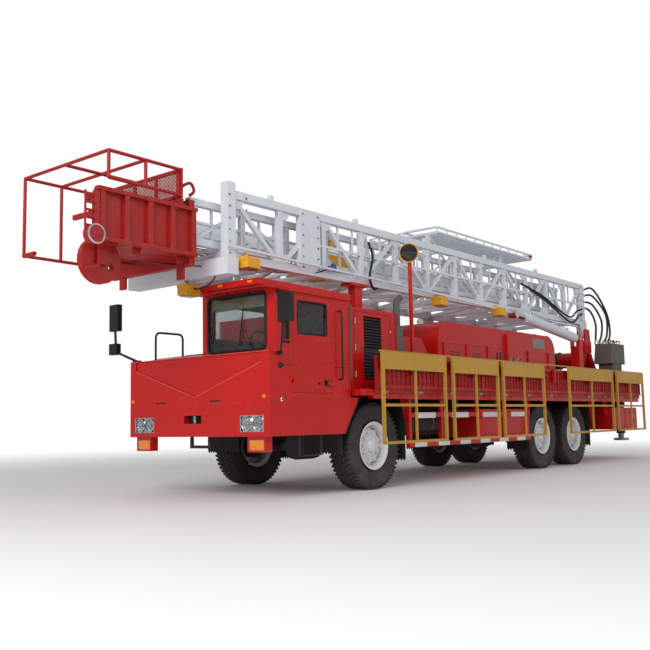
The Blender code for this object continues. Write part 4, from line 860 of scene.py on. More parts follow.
def ring(centre, radius, tube, axis="X", sides=48):
    """A torus about an axis."""
    section = [(radius + tube * math.cos(a), tube * math.sin(a))
               for a in (math.tau * i / 8 for i in range(9))]
    return lathe(section, centre, axis, sides)


def rectangle(first, second, level, axis):
    """Four corners at one level of an axis. The ranges on the other two come in XYZ order."""
    order = {
        "X": lambda a, b: (level, a, b),
        "Y": lambda a, b: (a, level, b),
        "Z": lambda a, b: (a, b, level),
    }[axis]
    return [order(first[0], second[0]), order(first[1], second[0]), order(first[1], second[1]),
            order(first[0], second[1])]


# %% Headlamps and fog lamps
LAMP_RADIUS = 0.078
for side, sign in BOTH_SIDES:
    low, high = measured(f"headlamp_{side}")
    middle = (low + high) / 2
    case = [box((low.x, high.x), (0.030, high.y), (low.z, high.z))]
    rim = rectangle((low.x + 0.006, high.x - 0.006), (low.z + 0.006, high.z - 0.006), 0.010, "Y")
    case.append(loop(rim, 0.01, 0.007))
    glass = []
    for step in (-0.095, 0.095):
        centre = Vector((middle.x + step, 0.028, middle.z))
        case.append(lathe([(LAMP_RADIUS, -0.022), (LAMP_RADIUS + 0.010, -0.020), (LAMP_RADIUS + 0.010, 0.004),
                           (LAMP_RADIUS - 0.004, 0.004), (LAMP_RADIUS - 0.006, -0.012)], centre, "Y", 32))
        case.append(lathe([(LAMP_RADIUS - 0.006, -0.008), (0.05, 0.001), (0.0, 0.002)], centre, "Y", 32))
        case.append(rod(centre, centre - Vector((0, 0.012, 0)), 0.014, 12))
        glass.append(lathe([(0.0, -0.026), (0.04, -0.024), (LAMP_RADIUS - 0.008, -0.017),
                            (LAMP_RADIUS - 0.008, -0.014), (0.04, -0.021), (0.0, -0.023)], centre, "Y", 32))
        for rib in spaced(-0.05, 0.05, 9):
            tall = math.sqrt((LAMP_RADIUS - 0.010) ** 2 - rib**2)
            foot, head = centre + Vector((rib, -0.019, -tall)), centre + Vector((rib, -0.019, tall))
            glass.append(rod(foot, head, 0.0025, 6))
    piece(f"headlamp_case_{side}", "carrier", bright_trim, case, replaces=[f"headlamp_{side}"])
    piece(f"headlamp_glass_{side}", "carrier", lens_clear, glass)
    fog_x = (sign * 0.895, sign * 1.125)
    piece(f"fog_lamp_{side}", "carrier", lens_amber, [box(fog_x, (0.045, 0.070), (0.585, 0.695))],
          bevel=0.004)
    piece(f"fog_rim_{side}", "carrier", bright_trim,
          [loop(rectangle(fog_x, (0.583, 0.697), 0.044, "Y"), 0.012, 0.006)])

# %% Slots, tow pin, marker lamps and the black hoop
front = []
for x in (-0.65, 0.35):
    front.append(box(about(x, 0.09), (-0.004, 0.02), (1.158, 1.176)))
# The black plate at the back of the tow opening is painted shade for the dark inside of the slot.
front.append(box((-0.199, 0.119), (0.080, 0.089), (0.901, 0.999)))
front += [bar((sign * 0.16, 0.10, 0.735), (sign * 0.16, 0.10, 0.60), 0.036, 0.036) for sign in (1, -1)]
front.append(box((-0.179, 0.179), (0.081, 0.119), (0.597, 0.634)))
piece("front_trim_and_slot_shade", "carrier", trim_black, front, bevel=EDGE)
piece("tow_pin", "carrier", bare_steel, [rod((-0.04, 0.045, 0.902), (-0.04, 0.045, 0.998), 0.022)],
      bevel=EDGE)
piece("nose_markers", "carrier", lens_amber,
      [lathe([(0.0, -0.030), (0.016, -0.026), (0.024, -0.010), (0.024, 0.0), (0.0, 0.0)], (x, 0.0, 1.20),
             "Y", 20) for x in (-1.18, 1.18)])
# These lighter red strips are a painted highlight on the nose's V crease and along its top edge.
edge = [(-1.14, 1.60), (0.0, 1.22), (1.14, 1.60)]
crease = [bar((x0, 0.001, z0), (x1, 0.001, z1), 0.012, 0.014, (0, 0, 1))
          for (x0, z0), (x1, z1) in zip(edge, edge[1:])]
crease.append(box((-1.249, 1.249), (-0.006, 0.01), (1.716, 1.726)))
piece("nose_crease", "carrier", crease_highlight_red, crease, bevel=EDGE)

# %% [markdown]
# ## Cab: seals, glass, doors and handles
# A black rubber seal round each opening does more for a cab than any amount of paint, because it gives the
# glass a place to sit. The panes that do not open are added here, 5 mm thick, just inside the metal.

# %% Window seals and panes
screen_low, screen_high = measured("windscreen")
door_pane_low, door_pane_high = measured("door_glass")
SKIN = cab_high.x - 0.030
quarter = [(SKIN - 0.01, 0.245, 1.83), (SKIN - 0.01, 0.36, 1.83), (SKIN - 0.01, 0.36, 2.39),
           (SKIN - 0.01, 0.245, 2.39)]
seals = [
    loop(rectangle((screen_low.x, screen_high.x), (screen_low.z, screen_high.z), 0.120, "Y"), 0.07, 0.016),
    loop(quarter, 0.03, 0.013),
    loop(rectangle((0.30, 1.25), (1.95, 2.38), cab_low.x + 0.014, "X"), 0.05, 0.013),
    loop(rectangle((0.27, 1.00), (1.95, 2.36), 1.528, "Y"), 0.05, 0.013),
]
piece("cab_seals", "carrier", seal_rubber, seals)
panes = [box((SKIN - 0.025, SKIN - 0.020), (0.237, 0.368), (1.822, 2.398)),
         box((cab_low.x + 0.030, cab_low.x + 0.035), (0.302, 1.248), (1.952, 2.378)),
         box((0.272, 0.998), (1.500, 1.505), (1.952, 2.358))]
piece("cab_panes", "carrier", window_glass, panes)
door_seal = loop(rectangle((door_pane_low.y, door_pane_high.y), (door_pane_low.z, door_pane_high.z),
                           SKIN - 0.008, "X"), 0.05, 0.013)
piece("door_seal", "cab_door", seal_rubber, [door_seal])

# %% Wipers
wipers = []
for x in (0.36, 0.86):
    foot, middle = Vector((x, 0.098, 1.735)), Vector((x - 0.16, 0.106, 2.04))
    wipers += [rod(foot + Vector((0, 0.02, 0)), foot - Vector((0, 0.012, 0)), 0.016, 12),
               rod(foot, middle, 0.006, 8)]
    wipers.append(bar(middle + Vector((-0.04, 0.008, -0.24)), middle + Vector((0.04, 0.008, 0.24)), 0.010,
                      0.012))
piece("wipers", "carrier", trim_black, wipers)

# %% Door furniture, swages, grab handles and steps
door = [box((SKIN - 0.002, SKIN + 0.006), (1.00, 1.13), (1.325, 1.405)),
        bar((SKIN + 0.022, 1.015, 1.385), (SKIN + 0.022, 1.115, 1.385), 0.016, 0.022),
        rod((SKIN, 0.90, 1.36), (SKIN + 0.008, 0.90, 1.36), 0.018)]
piece("door_handle", "cab_door", trim_black, door, bevel=EDGE)
piece("door_swages", "cab_door", red_enamel,
      [bar((SKIN + 0.001, 0.425, z), (SKIN + 0.001, 1.145, z), 0.010, 0.012) for z in (1.62, 1.86)],
      bevel=EDGE)
swages = []
for near, far in ((0.13, 0.405), (1.17, 1.52)):
    swages += [bar((SKIN + 0.001, near, z), (SKIN + 0.001, far, z), 0.010, 0.012) for z in (1.62, 1.86)]
swages.append(bar((SKIN + 0.001, 0.36, 1.185), (SKIN + 0.001, 1.52, 1.185), 0.010, 0.014))
swages.append(box((SKIN - 0.006, SKIN - 0.0005), (0.121, 0.339), (1.138, 1.189)))
piece("cab_swages", "carrier", red_enamel, swages, bevel=EDGE)
handles = [pipe(rounded_path([(SKIN, 1.30, 1.42), (SKIN + 0.055, 1.30, 1.42), (SKIN + 0.055, 1.30, 2.28),
                              (SKIN, 1.30, 2.28)], 0.03), 0.013),
           pipe(rounded_path([(-1.15, 0.34, 1.74), (-1.15, 0.34, 2.14), (-1.15, 0.82, 2.14),
                              (-1.15, 0.82, 1.82)], 0.08), 0.015),
           pipe(rounded_path([(1.21, 0.56, 0.75), (1.21, 0.56, 0.50), (1.21, 0.96, 0.50),
                              (1.21, 0.96, 0.75)], 0.05), 0.014),
           box((1.19, 1.24), (0.57, 0.95), (0.494, 0.508)),
           lathe([(0.0, 0.030), (0.022, 0.026), (0.034, 0.008), (0.034, 0.0), (0.0, 0.0)],
                 (SKIN, 0.20, 1.56), "X", 20)]
piece("cab_handles", "carrier", trim_black, handles)
arch = [bar((sign * (SKIN - 0.02), 1.40, 0.745), (sign * (SKIN - 0.02), 1.70, 1.185), 0.05, 0.016)
        for sign in (1, -1)]
piece("arch_lips", "carrier", seal_rubber, arch, bevel=EDGE)
roof = [pipe(rounded_path([(cab_low.x + 0.03, -0.10, cab_high.z - 0.088),
                           (cab_high.x - 0.012, -0.10, cab_high.z - 0.088),
                           (cab_high.x - 0.012, 1.50, cab_high.z - 0.11)], 0.04), 0.010)]
piece("roof_gutter", "carrier", red_enamel, roof)
piece("roof_markers", "carrier", lens_amber,
      [box(about(x, 0.035), (-0.168, -0.155), (2.505, 2.530)) for x in (0.14, 0.63, 1.12)], bevel=EDGE)

# %% Hood seams, louvres and mirror glass
seams = [box((-1.05, -0.20), about(y, 0.004), (top - 0.01, top + 0.003))
         for y, top in ((0.56, 1.807), (1.40, 1.914))]
for y in spaced(0.70, 1.26, 8):
    height = 1.80 + (y - 0.50) * 0.126
    seams.append(bar((-0.95, y, height + 0.004), (-0.35, y, height + 0.004), 0.03, 0.006, (0, 1, 0)))
for y in spaced(0.60, 1.30, 6):
    seams.append(box((-1.256, -1.248), about(y, 0.035), (1.45, 1.47)))
piece("hood_vents", "carrier", trim_black, seams)
# The two level black strips are painted shade in the groove below the lower swage; the upright one is the
# seam at the back of the cab side.
seam_and_groove_shade_lines = [box((SKIN - 0.001, SKIN + 0.0015), (0.13, 0.405), (1.565, 1.573)),
              box((SKIN - 0.001, SKIN + 0.0015), (1.17, 1.50), (1.565, 1.573)),
              box((SKIN - 0.001, SKIN + 0.0015), (1.495, 1.503), (1.20, 2.36))]
piece("cab_seams_and_groove_shade", "carrier", trim_black, seam_and_groove_shade_lines)
piece("side_marker", "carrier", lens_clear,
      [lathe([(0.0, 0.016), (0.02, 0.014), (0.028, 0.0), (0.0, 0.0)], (SKIN, 0.22, 1.165), "X", 20)])
mirrors = [box((1.452, 1.608), (0.034, 0.038), (2.045, 2.345)),
           box((-1.61, -1.45), (-0.001, 0.003), (2.175, 2.505)),
           box((-1.60, -1.46), (-0.011, -0.007), (1.85, 1.98))]
piece("mirror_glass", "carrier", bright_trim, mirrors)

# %% [markdown]
# ## Inside the cab
# The windscreen is wide and clean, so the dashboard, wheel, seat and visor show. The seat is a soft thing:
# each cushion starts as a block, is crowned so that its middle stands proud, gets a seam of piping, and is
# subdivided.

# %% Dashboard and steering wheel
dash_low, dash_high = measured("dashboard")
WHEEL_AT = Vector((0.66, 0.583, 1.865))
lean = Vector((0, 0.22, 0.21)).normalized()
profile = [(0.18, 1.46), (0.38, 1.46), (0.40, 1.62), (0.37, 1.735), (0.30, 1.755), (0.18, 1.748)]
dash = [plate(profile, dash_low.x, dash_high.x), box((0.48, 0.84), (0.26, 0.39), (1.74, 1.82)),
        rod(WHEEL_AT - lean * 0.26, WHEEL_AT - lean * 0.01, 0.028),
        rod(WHEEL_AT - lean * 0.02, WHEEL_AT + lean * 0.012, 0.05)]
rim = []
side_way, up_way = Vector((1, 0, 0)), lean.cross(Vector((1, 0, 0)))
for step in range(37):
    angle = math.tau * step / 36
    rim.append(WHEEL_AT + (side_way * math.cos(angle) + up_way * math.sin(angle)) * 0.205)
dash.append(pipe(rim, 0.014))
for angle in (math.radians(90), math.radians(210), math.radians(330)):
    dash.append(rod(WHEEL_AT, WHEEL_AT + (side_way * math.cos(angle) + up_way * math.sin(angle)) * 0.20,
                    0.010, 8))
piece("dashboard_detailed", "carrier", trim_black, dash, bevel=0.006, replaces=["dashboard"])
dials = [rod((x, 0.386, 1.782), (x, 0.396, 1.784), 0.026, 20) for x in (0.54, 0.61, 0.71, 0.78)]
dials += [rod((x, 0.388, 1.66), (x, 0.404, 1.66), 0.018, 14) for x in spaced(0.92, 1.14, 4)]
piece("dials", "carrier", bright_trim, dials)

# %% Seat, visor and headlining
seat_low, seat_high = measured("driver_seat")


def cushion(name, low, high, crown, axis):
    """A crowned, subdivided cushion with piping round its edge. axis is the way it bulges."""
    shape = box(*zip(low, high))
    bmesh.ops.subdivide_edges(shape, edges=shape.edges[:], cuts=5, use_grid_fill=True)
    middle, half = (Vector(low) + Vector(high)) / 2, (Vector(high) - Vector(low)) / 2
    others = [i for i in range(3) if i != axis]
    for vert in shape.verts:
        share = [(vert.co[i] - middle[i]) / half[i] for i in range(3)]
        swell = math.prod(max(0.0, 1 - share[i] ** 2) for i in others)
        vert.co[axis] += crown * swell * (1 if share[axis] > 0 else -0.2)
    made = piece(name, "carrier", seat_cloth, [shape])
    made.modifiers.new("round", "SUBSURF").levels = 2
    made.modifiers["round"].render_levels = 2
    level = (high[axis] if axis == 2 else low[axis]) + (-0.02 if axis == 2 else 0.02)
    ranges = [(low[i] + 0.012, high[i] - 0.012) for i in others]
    return loop(rectangle(*ranges, level, "XYZ"[axis]), 0.04, 0.005)


x0, x1 = seat_low.x, seat_high.x
piping = [cushion("seat_squab", (x0, 0.76, 1.57), (x1, 1.24, 1.69), 0.035, 2)]
back = cushion("seat_back", (x0 + 0.01, 1.24, 1.69), (x1 - 0.01, 1.36, 2.22), 0.02, 1)
piece("seat_piping", "carrier", seal_rubber, piping + [back], slot="")
frame_parts = [box((x0 + 0.05, x1 - 0.05), (0.84, 1.18), (1.262, 1.40)),
               box((x0 + 0.02, x1 - 0.02), (0.80, 1.22), (1.52, 1.565)),
               *(bar((x, 0.86, 1.39), (x, 1.16, 1.54), 0.02, 0.03) for x in (x0 + 0.09, x1 - 0.09)),
               *(bar((x, 1.16, 1.39), (x, 0.86, 1.54), 0.02, 0.03) for x in (x0 + 0.11, x1 - 0.11))]
piece("seat_frame", "carrier", trim_black, frame_parts, bevel=EDGE, replaces=["driver_seat"])
piece("sun_visor", "carrier", visor_beige, [box((0.13, 1.09), (0.175, 0.190), (2.27, 2.425))], bevel=0.006)
lining = [box((0.072, 1.19), (0.172, 1.478), (2.405, 2.418)),
          box((0.072, 1.19), (1.462, 1.478), (1.27, 1.93)), box((0.072, 0.080), (0.18, 1.47), (1.27, 1.93))]
piece("cab_lining", "carrier", lining_grey, lining)
print("cab dressed:", sum(1 for name in made_triangles), "pieces so far")

# %% [markdown]
# ## Crown: guard, mesh, sheaves and lugs
# The crown carries the line sheaves, and a light tube guard stands in front of it. The CAD guard is square
# tube, so round tube on the same lines replaces it. The mesh behind it is thin strips crossed in diamonds.

# %% Crown guard in round tube
guard_low, guard_high = measured("crown_guard")
TUBE = 0.019
left, right = guard_high.x - TUBE, guard_low.x + TUBE
front_y, back_y = guard_low.y + TUBE, guard_high.y
middle_y = (guard_low.y - 0.90) / 2
top, bottom, left_low = guard_high.z - TUBE, guard_low.z + TUBE, 3.45
guard = [rod((x, front_y, top), (x, back_y, top), TUBE) for x in (left, 0.0, right)]
for y in (front_y, middle_y):
    guard += [rod((right, y, top), (left, y, top), TUBE), rod((right, y, bottom), (right, y, top), TUBE),
              rod((left, y, left_low), (left, y, top), TUBE)]
guard += [rod((right, front_y, bottom), (right, back_y, bottom), TUBE),
          rod((left, front_y, left_low), (left, back_y, left_low), TUBE),
          rod((right, front_y, bottom), (right + 0.22, front_y, bottom), 0.026)]
piece("crown_guard_tubes", "mast_upper_body", crown_red, guard, replaces=["crown_guard"])

# %% Diamond mesh and its frame
MESH_Y = -0.915
mesh_x, mesh_z = (-0.76, 0.76), (3.43, 3.73)
strips = []
pitch = 0.045
count = int((mesh_x[1] - mesh_x[0] + mesh_z[1] - mesh_z[0]) / pitch)
for step in range(1, count):
    reach = step * pitch
    for sign in (1, -1):
        x0 = max(0.0, reach - (mesh_z[1] - mesh_z[0]))
        x1 = min(mesh_x[1] - mesh_x[0], reach)
        ends = [(mesh_x[0] + x if sign > 0 else mesh_x[1] - x, mesh_z[0] + reach - x) for x in (x0, x1)]
        if x1 - x0 > 0.01:
            strips.append(bar((ends[0][0], MESH_Y - 0.001 * sign, ends[0][1]),
                              (ends[1][0], MESH_Y - 0.001 * sign, ends[1][1]), 0.009, 0.004, (0, 0, 1)))
piece("crown_mesh", "mast_upper_body", mesh_pale, strips)
edges = [bar((x, MESH_Y - 0.012, mesh_z[0]), (x, MESH_Y - 0.012, mesh_z[1]), 0.04, 0.02)
         for x in spaced(*mesh_x, 5)]
edges += [bar((mesh_x[0], MESH_Y - 0.012, z), (mesh_x[1], MESH_Y - 0.012, z), 0.035, 0.02, (0, 0, 1))
          for z in mesh_z]
piece("crown_mesh_frame", "mast_upper_body", crown_red, edges, bevel=EDGE)

# %% Lugs, hook, bolts and the fast-line sheave's hub
LINE_X = 0.74


def lug(x, y, z, size, thick, down=True):
    """A pad eye: a rounded tongue with a hole ring."""
    turn = -1 if down else 1
    outline = [(y - size, z), (y + size, z), (y + size * 0.6, z + turn * size * 1.5),
               (y, z + turn * size * 1.9), (y - size * 0.6, z + turn * size * 1.5)]
    return [plate(outline, x - thick / 2, x + thick / 2),
            ring((x, y, z + turn * size * 1.15), size * 0.42, size * 0.13, "X", 20)]


lugs = lug(0.66, -0.82, 2.80, 0.055, 0.03) + lug(0.66, -1.42, 2.80, 0.055, 0.03)
lugs += [pipe(rounded_path([(0.70, -0.95, 3.42), (0.70, -0.80, 3.60), (0.70, -0.68, 3.66),
                            (0.70, -0.62, 3.56), (0.70, -0.70, 3.50)], 0.05), 0.018)]
for y in spaced(-1.88, -0.78, 8):
    for z in (2.795, 3.325):
        lugs.append(rod((LINE_X + 0.058, y, z), (LINE_X + 0.066, y, z), 0.012, 6))
for y in (-1.66, -1.30, -0.98):
    lugs.append(plate([(y, 3.26), (y + 0.05, 3.32), (y, 3.32)], LINE_X, LINE_X + 0.045))
lugs.append(bar((-0.60, -1.35, 3.34), (0.60, -1.35, 3.34), 0.06, 0.04, (0, 0, 1)))
lugs.append(bar((0.42, -1.90, 3.30), (0.42, -0.72, 3.30), 0.05, 0.05))
piece("crown_lugs", "mast_upper_body", crown_red, lugs, bevel=EDGE)
hub_at = Vector((LINE_X + 0.062, -2.035, 2.83))
spokes = [lathe([(0.0, 0.020), (0.030, 0.016), (0.040, 0.0)], hub_at, "X", 24)]
for angle in (math.tau * i / 8 for i in range(8)):
    spokes.append(bar(hub_at, hub_at + Vector((0, math.cos(angle), math.sin(angle))) * 0.09, 0.010, 0.014))
piece("roller_hub", "mast_upper_body", bright_trim, [ring(hub_at, 0.096, 0.011, "X", 40)])
piece("roller_spokes", "mast_upper_body", crown_red, spokes)
fast = [ring((0.52, -1.80, 2.62), 0.236, 0.012, "X", 48)]
fast += [ring((0.553, y, z), size, 0.007, "X", 24)
         for y, z, size in ((-1.68, 2.56, 0.040), (-1.92, 2.58, 0.024))]
fast += [rod((0.44, -1.80, 2.62), (0.60, -1.80, 2.62), 0.03, 12),
         bar((0.60, -2.03, 2.50), (0.60, -1.86, 2.56), 0.02, 0.03)]
piece("fast_line_rings", "mast_upper_body", crown_red, fast)
sheaves_low, sheaves_high = measured("crown_sheaves")
half = sheaves_high.x - 0.002
profile = [(0.066, -half)]
for index in range(4):
    x = -half + half / 2 * (index + 0.5)
    near, far = x - half / 4, x + half / 4
    profile += [(0.228, near + 0.006), (0.238, x - 0.05), (0.232, x - 0.036), (0.192, x - 0.010),
                (0.188, x), (0.192, x + 0.010), (0.232, x + 0.036), (0.238, x + 0.05), (0.228, far - 0.006),
                (0.14, far - 0.002)]
profile += [(0.066, half), (0.066, -half)]
sheave_middle = (sheaves_low + sheaves_high) / 2
piece("sheave_stack", "crown_sheaves_body", crown_red,
      [lathe(profile, (0, -1.00, sheave_middle.z), "X", 56)], replaces=["crown_sheaves"])

# %% [markdown]
# ## Mast: gussets, conduit, lines and lamps
# The lattice has gussets where braces meet the chords, flange bolts at the ends, a conduit down the left
# side with clips, work lamps under the chords and the block and lines inside. All of it rides on the
# section that it is fixed to.

# %% Gussets, mid rails and end plates
CHORD_X = 0.80
white = []
for y in spaced(mast_low.y + 0.25, mast_high.y - 0.35, 13):
    for z, turn in ((2.90, 1), (3.54, -1)):
        white.append(plate([(y - 0.13, z), (y + 0.13, z), (y + 0.05, z + turn * 0.10),
                            (y - 0.05, z + turn * 0.10)], CHORD_X + 0.018, CHORD_X + 0.028))
white += [bar((CHORD_X + 0.01, 1.45, 3.22), (CHORD_X + 0.01, 9.95, 3.22), 0.035, 0.035)]
for near in spaced(1.55, 9.10, 9):
    white.append(bar((CHORD_X - 0.01, near, 3.22), (CHORD_X - 0.01, near + 0.55, 3.22), 0.05, 0.02))
for y in (0.55, 2.30, 4.10, 6.0, 8.0):
    white.append(box(about(CHORD_X, 0.03), about(y, 0.03), (3.65, 3.72)))
for y in spaced(1.56, 9.80, 26):
    white.append(box(about(CHORD_X, 0.012), about(y, 0.012), (3.24, 3.55)))
piece("mast_gussets", "mast_lower_body", mast_white, both(white), bevel=0.002)
bolts = []
for y in (-0.22, 0.06, 1.10, 1.40, 9.98, 10.12):
    bolts += [rod((CHORD_X + 0.054, y, z), (CHORD_X + 0.068, y, z), 0.013, 6) for z in spaced(2.88, 3.58, 6)]
piece("mast_bolts", "mast_lower_body", bare_steel, both(bolts))
upper_white = []
for y in spaced(upper_low.y + 0.1, upper_high.y - 0.1, 37):
    upper_white.append(box((0.605, 0.632), about(y, 0.014), (3.03, 3.43)))
upper_white += [bar((0.62, upper_low.y + 0.05, 3.23), (0.62, upper_high.y - 0.05, 3.23), 0.03, 0.03)]
for y in spaced(upper_low.y + 0.15, upper_high.y - 0.15, 13):
    upper_white.append(plate([(y - 0.09, 3.04), (y + 0.09, 3.04), (y, 3.14)], 0.624, 0.632))
piece("upper_rungs", "mast_upper_body", mast_white, both(upper_white))

# %% Conduit along the left side, and the junction boxes
conduit = [(0.90, -0.30, 2.95), (0.915, 1.0, 2.915), (0.915, 3.63, 2.86), (0.915, 6.4, 2.775),
           (0.90, 9.6, 2.72)]
tubes = [pipe(smooth_route(conduit, 5), 0.018)]
for y, z in ((0.9, 2.915), (2.2, 2.89), (3.5, 2.863), (4.9, 2.822), (6.3, 2.778), (7.8, 2.752), (9.2, 2.73)):
    tubes.append(box((0.85, 0.93), about(y, 0.012), about(z, 0.025)))
piece("mast_conduit", "mast_lower_body", mast_white, tubes)

# %% Yellow work lamps with caged lenses
lamp_bodies, lamp_lenses = [], []
for x, y, z in ((0.93, 0.02, 2.71), (0.93, 4.28, 2.66), (0.93, 6.22, 2.66), (0.20, -0.27, 2.435),
                (-0.93, 2.00, 2.66), (-0.93, 5.20, 2.66)):
    toward = 1 if x > 0 else -1
    lamp_bodies += [box(about(x, 0.085), about(y, 0.11), (z, z + 0.125)),
                    bar((x, y, z + 0.12), (x - toward * 0.06, y, z + 0.20), 0.05, 0.02, (0, 1, 0))]
    lamp_bodies += [box(about(x, 0.09), (y - 0.115 + i * 0.05, y - 0.105 + i * 0.05),
                        (z + 0.09, z + 0.135)) for i in range(5)]
    lamp_lenses.append(box(about(x, 0.065), about(y, 0.09), (z - 0.012, z + 0.01)))
piece("mast_lamps", "mast_lower_body", lamp_yellow, lamp_bodies, bevel=0.006)
piece("mast_lamp_lenses", "mast_lower_body", lens_clear, lamp_lenses, bevel=0.004)

# %% Travelling block, drilling lines and the orange line clamps inside the mast
lines = [rod((x, -0.78, 3.04), (x * 0.8, 2.05, 3.12), 0.009, 8) for x in (-0.24, -0.12, 0.0, 0.12, 0.24)]
lines += [rod((0.52, -1.56, 2.66), (0.40, 2.0, 2.93), 0.009, 8),
          rod((-0.30, -0.78, 3.10), (-0.30, 9.0, 3.28), 0.007, 8)]
piece("drilling_lines", "mast_upper_body", wire_steel, lines)
block = [plate([(2.05, 2.98), (2.95, 2.98), (3.05, 3.10), (2.95, 3.30), (2.05, 3.30), (1.98, 3.14)],
               x - 0.02, x + 0.02) for x in (-0.26, -0.09, 0.09, 0.26)]
block += [lathe([(0.0, -0.24), (0.19, -0.24), (0.19, 0.24), (0.0, 0.24)], (0, 2.30, 3.14), "X", 28),
          rod((0, 2.95, 3.14), (0, 3.35, 3.14), 0.07),
          pipe(rounded_path([(0, 3.35, 3.14), (0, 3.50, 3.24), (0, 3.66, 3.14), (0, 3.50, 3.02)], 0.12),
               0.035)]
piece("travelling_block", "mast_upper_body", lamp_yellow, block, bevel=0.006)
clamps = [box((0.56, 0.66), about(y, 0.05), about(z, 0.05))
          for y, z in ((1.62, 3.36), (1.62, 3.10), (1.95, 3.33))]
piece("line_clamps", "mast_upper_body", lamp_yellow, clamps, bevel=0.008)

# %% Ladder on the mast's right side
LADDER_X = -0.86
LADDER_Z = (3.05, 3.40)
ladder = [rod((LADDER_X, mast_low.y + 0.45, z), (LADDER_X, mast_high.y - 0.35, z), 0.014, 8)
          for z in LADDER_Z]
ladder += [rod((LADDER_X, y, LADDER_Z[0]), (LADDER_X, y, LADDER_Z[1]), 0.010, 8)
           for y in spaced(0.20, 9.70, 34)]
piece("mast_ladder", "mast_lower_body", mast_white, ladder)

# %% [markdown]
# ## Racking board
# The CAD board is a plain tray. The real one is a rail frame with a row of fingers that hold pipe, a floor
# of open grating and hoops to the far side, which all fold with the board. The braces under it stay on the
# mast.

# %% Racking board in tube, grating and fingers
board_low, board_high = measured("racking_board")
x0, x1 = 0.14, board_high.x - 0.02
y0, y1 = board_low.y + 0.03, board_high.y - 0.02
z0, z1 = board_low.z + 0.03, board_high.z - 0.02
frame_tubes = []
for z in (z0, z1):
    frame_tubes += [rod((x, y0, z), (x, y1, z), 0.018) for x in (x0, x1)]
    frame_tubes += [rod((x0, y, z), (x1, y, z), 0.018) for y in (y0, y1)]
frame_tubes += [rod((x, y, z0), (x, y, z1), 0.012) for x in (x0, x1) for y in spaced(y0, y1, 12)]
for near, far, across, level, size in ((y0 + 0.02, 6.42, -0.62, z1, 0.014),
                                       (y0 + 0.3, 6.0, -0.40, z0, 0.012)):
    hoop = [(x0, near, level), (across, near, level), (across, far, level), (x0, far, level)]
    frame_tubes.append(pipe(rounded_path(hoop, 0.10), size))
frame_tubes += [bar((x1 - 0.10, y, z0 + 0.008), (x1 - 0.46, y, z0 + 0.008), 0.02, 0.03, (0, 1, 0))
                for y in spaced(y0 + 0.3, y1 - 0.3, 14)]
frame_tubes += [rod((-0.66, 4.496, 3.88), (board_high.x - 0.02, 4.496, 3.88), 0.012),
                box((-0.64, board_high.x - 0.03), (4.487, 4.53), (3.881, 3.905))]
piece("board_frame", "racking_board_body", mast_white, frame_tubes, replaces=["racking_board"])
grating = [bar((x, y0, z0 - 0.008), (x, y1, z0 - 0.008), 0.004, 0.022)
           for x in spaced(x0 + 0.02, x1 - 0.02, 17)]
grating += [rod((x0, y, z0 - 0.002), (x1, y, z0 - 0.002), 0.004, 6) for y in spaced(y0 + 0.04, y1 - 0.04, 34)]
piece("board_grating", "racking_board_body", mast_white, grating)
piece("board_beacon", "racking_board_body", lens_red,
      [lathe([(0.0, -0.045), (0.022, -0.04), (0.035, 0.0), (0.035, 0.02), (0.0, 0.02)],
             (x1, y1 - 0.04, z1 - 0.03), "Z", 20)])
braces = [bar((sign * 0.62, y + step, 3.50), (sign * 0.60, y, 3.86), 0.03, 0.03) for sign in (1, -1)
          for y, step in ((4.55, 0.45), (6.86, -0.55), (6.94, 0.45))]
piece("board_braces", "mast_upper_body", mast_white, braces, bevel=EDGE)

# %% [markdown]
# ## Deck machinery
# The engine housing, gearbox cover and drum cover are plain sheet metal in the CAD model. Seams, hinges,
# latches, louvres and lifting eyes show where they open. The exhaust, lamp and hoses fill the spaces
# between them.

# %% Engine housing and exhaust
dark, red_parts, steel = [], [], []
for side in (1, -1):
    x = side * HOUSE_X
    deep = x - side * 0.012
    dark += [bar((deep, 1.90, z), (deep, 2.30, z), 0.006, 0.035, (1, 0, 0.6)) for z in spaced(1.85, 2.25, 11)]
    dark += [bar((x, 1.90, z), (x, 2.30, z), 0.006, 0.030, (1, 0, 0.6)) for z in spaced(1.47, 1.81, 9)]
    dark.append(box(about(x, 0.004), (1.89, 2.31), (1.44, 1.84)))
    dark += [box(about(x, 0.002), about(y, 0.003), (1.36, 2.33)) for y in (1.70, 2.52)]
    dark += [box(about(x, 0.002), (1.70, 2.52), about(z, 0.003)) for z in (1.36, 2.33)]
    red_parts += [bar((x, y, 1.31), (x, y, 2.37), 0.012, 0.03, (0, 1, 0)) for y in (1.60, 2.64)]
    steel += [rod((x, 2.49, z), (x + side * 0.022, 2.49, z), 0.016) for z in (1.55, 2.10)]
    hinge = x + side * 0.008
    steel += [rod((hinge, 1.70, z - 0.04), (hinge, 1.70, z + 0.04), 0.010, 10) for z in (1.50, 1.85, 2.20)]
dark += [bar((-0.60, y, 2.386), (0.60, y, 2.386), 0.03, 0.012, (0, 1, 0)) for y in spaced(1.78, 2.00, 4)]
piece("engine_house_slats", "carrier", trim_black, dark)
piece("engine_house_frames", "carrier", red_enamel, red_parts, bevel=EDGE)
piece("engine_house_latches", "carrier", bright_trim, steel, bevel=0.002)
pipes = [rod((1.215, 1.585, 1.42), (1.215, 1.585, 2.34), 0.019),
         rod((1.215, 1.585, 2.34), (1.215, 1.585, 2.40), 0.030),
         rod((1.16, 2.735, 1.31), (1.16, 2.735, 2.46), 0.050, 20),
         rod((1.16, 2.735, 1.55), (1.16, 2.735, 2.20), 0.085, 24),
         pipe(rounded_path([(1.16, 2.735, 2.44), (1.16, 2.735, 2.56), (1.16, 2.84, 2.62)], 0.06), 0.047, 4)]
piece("exhaust", "carrier", engine_grey, pipes, bevel=0.004)

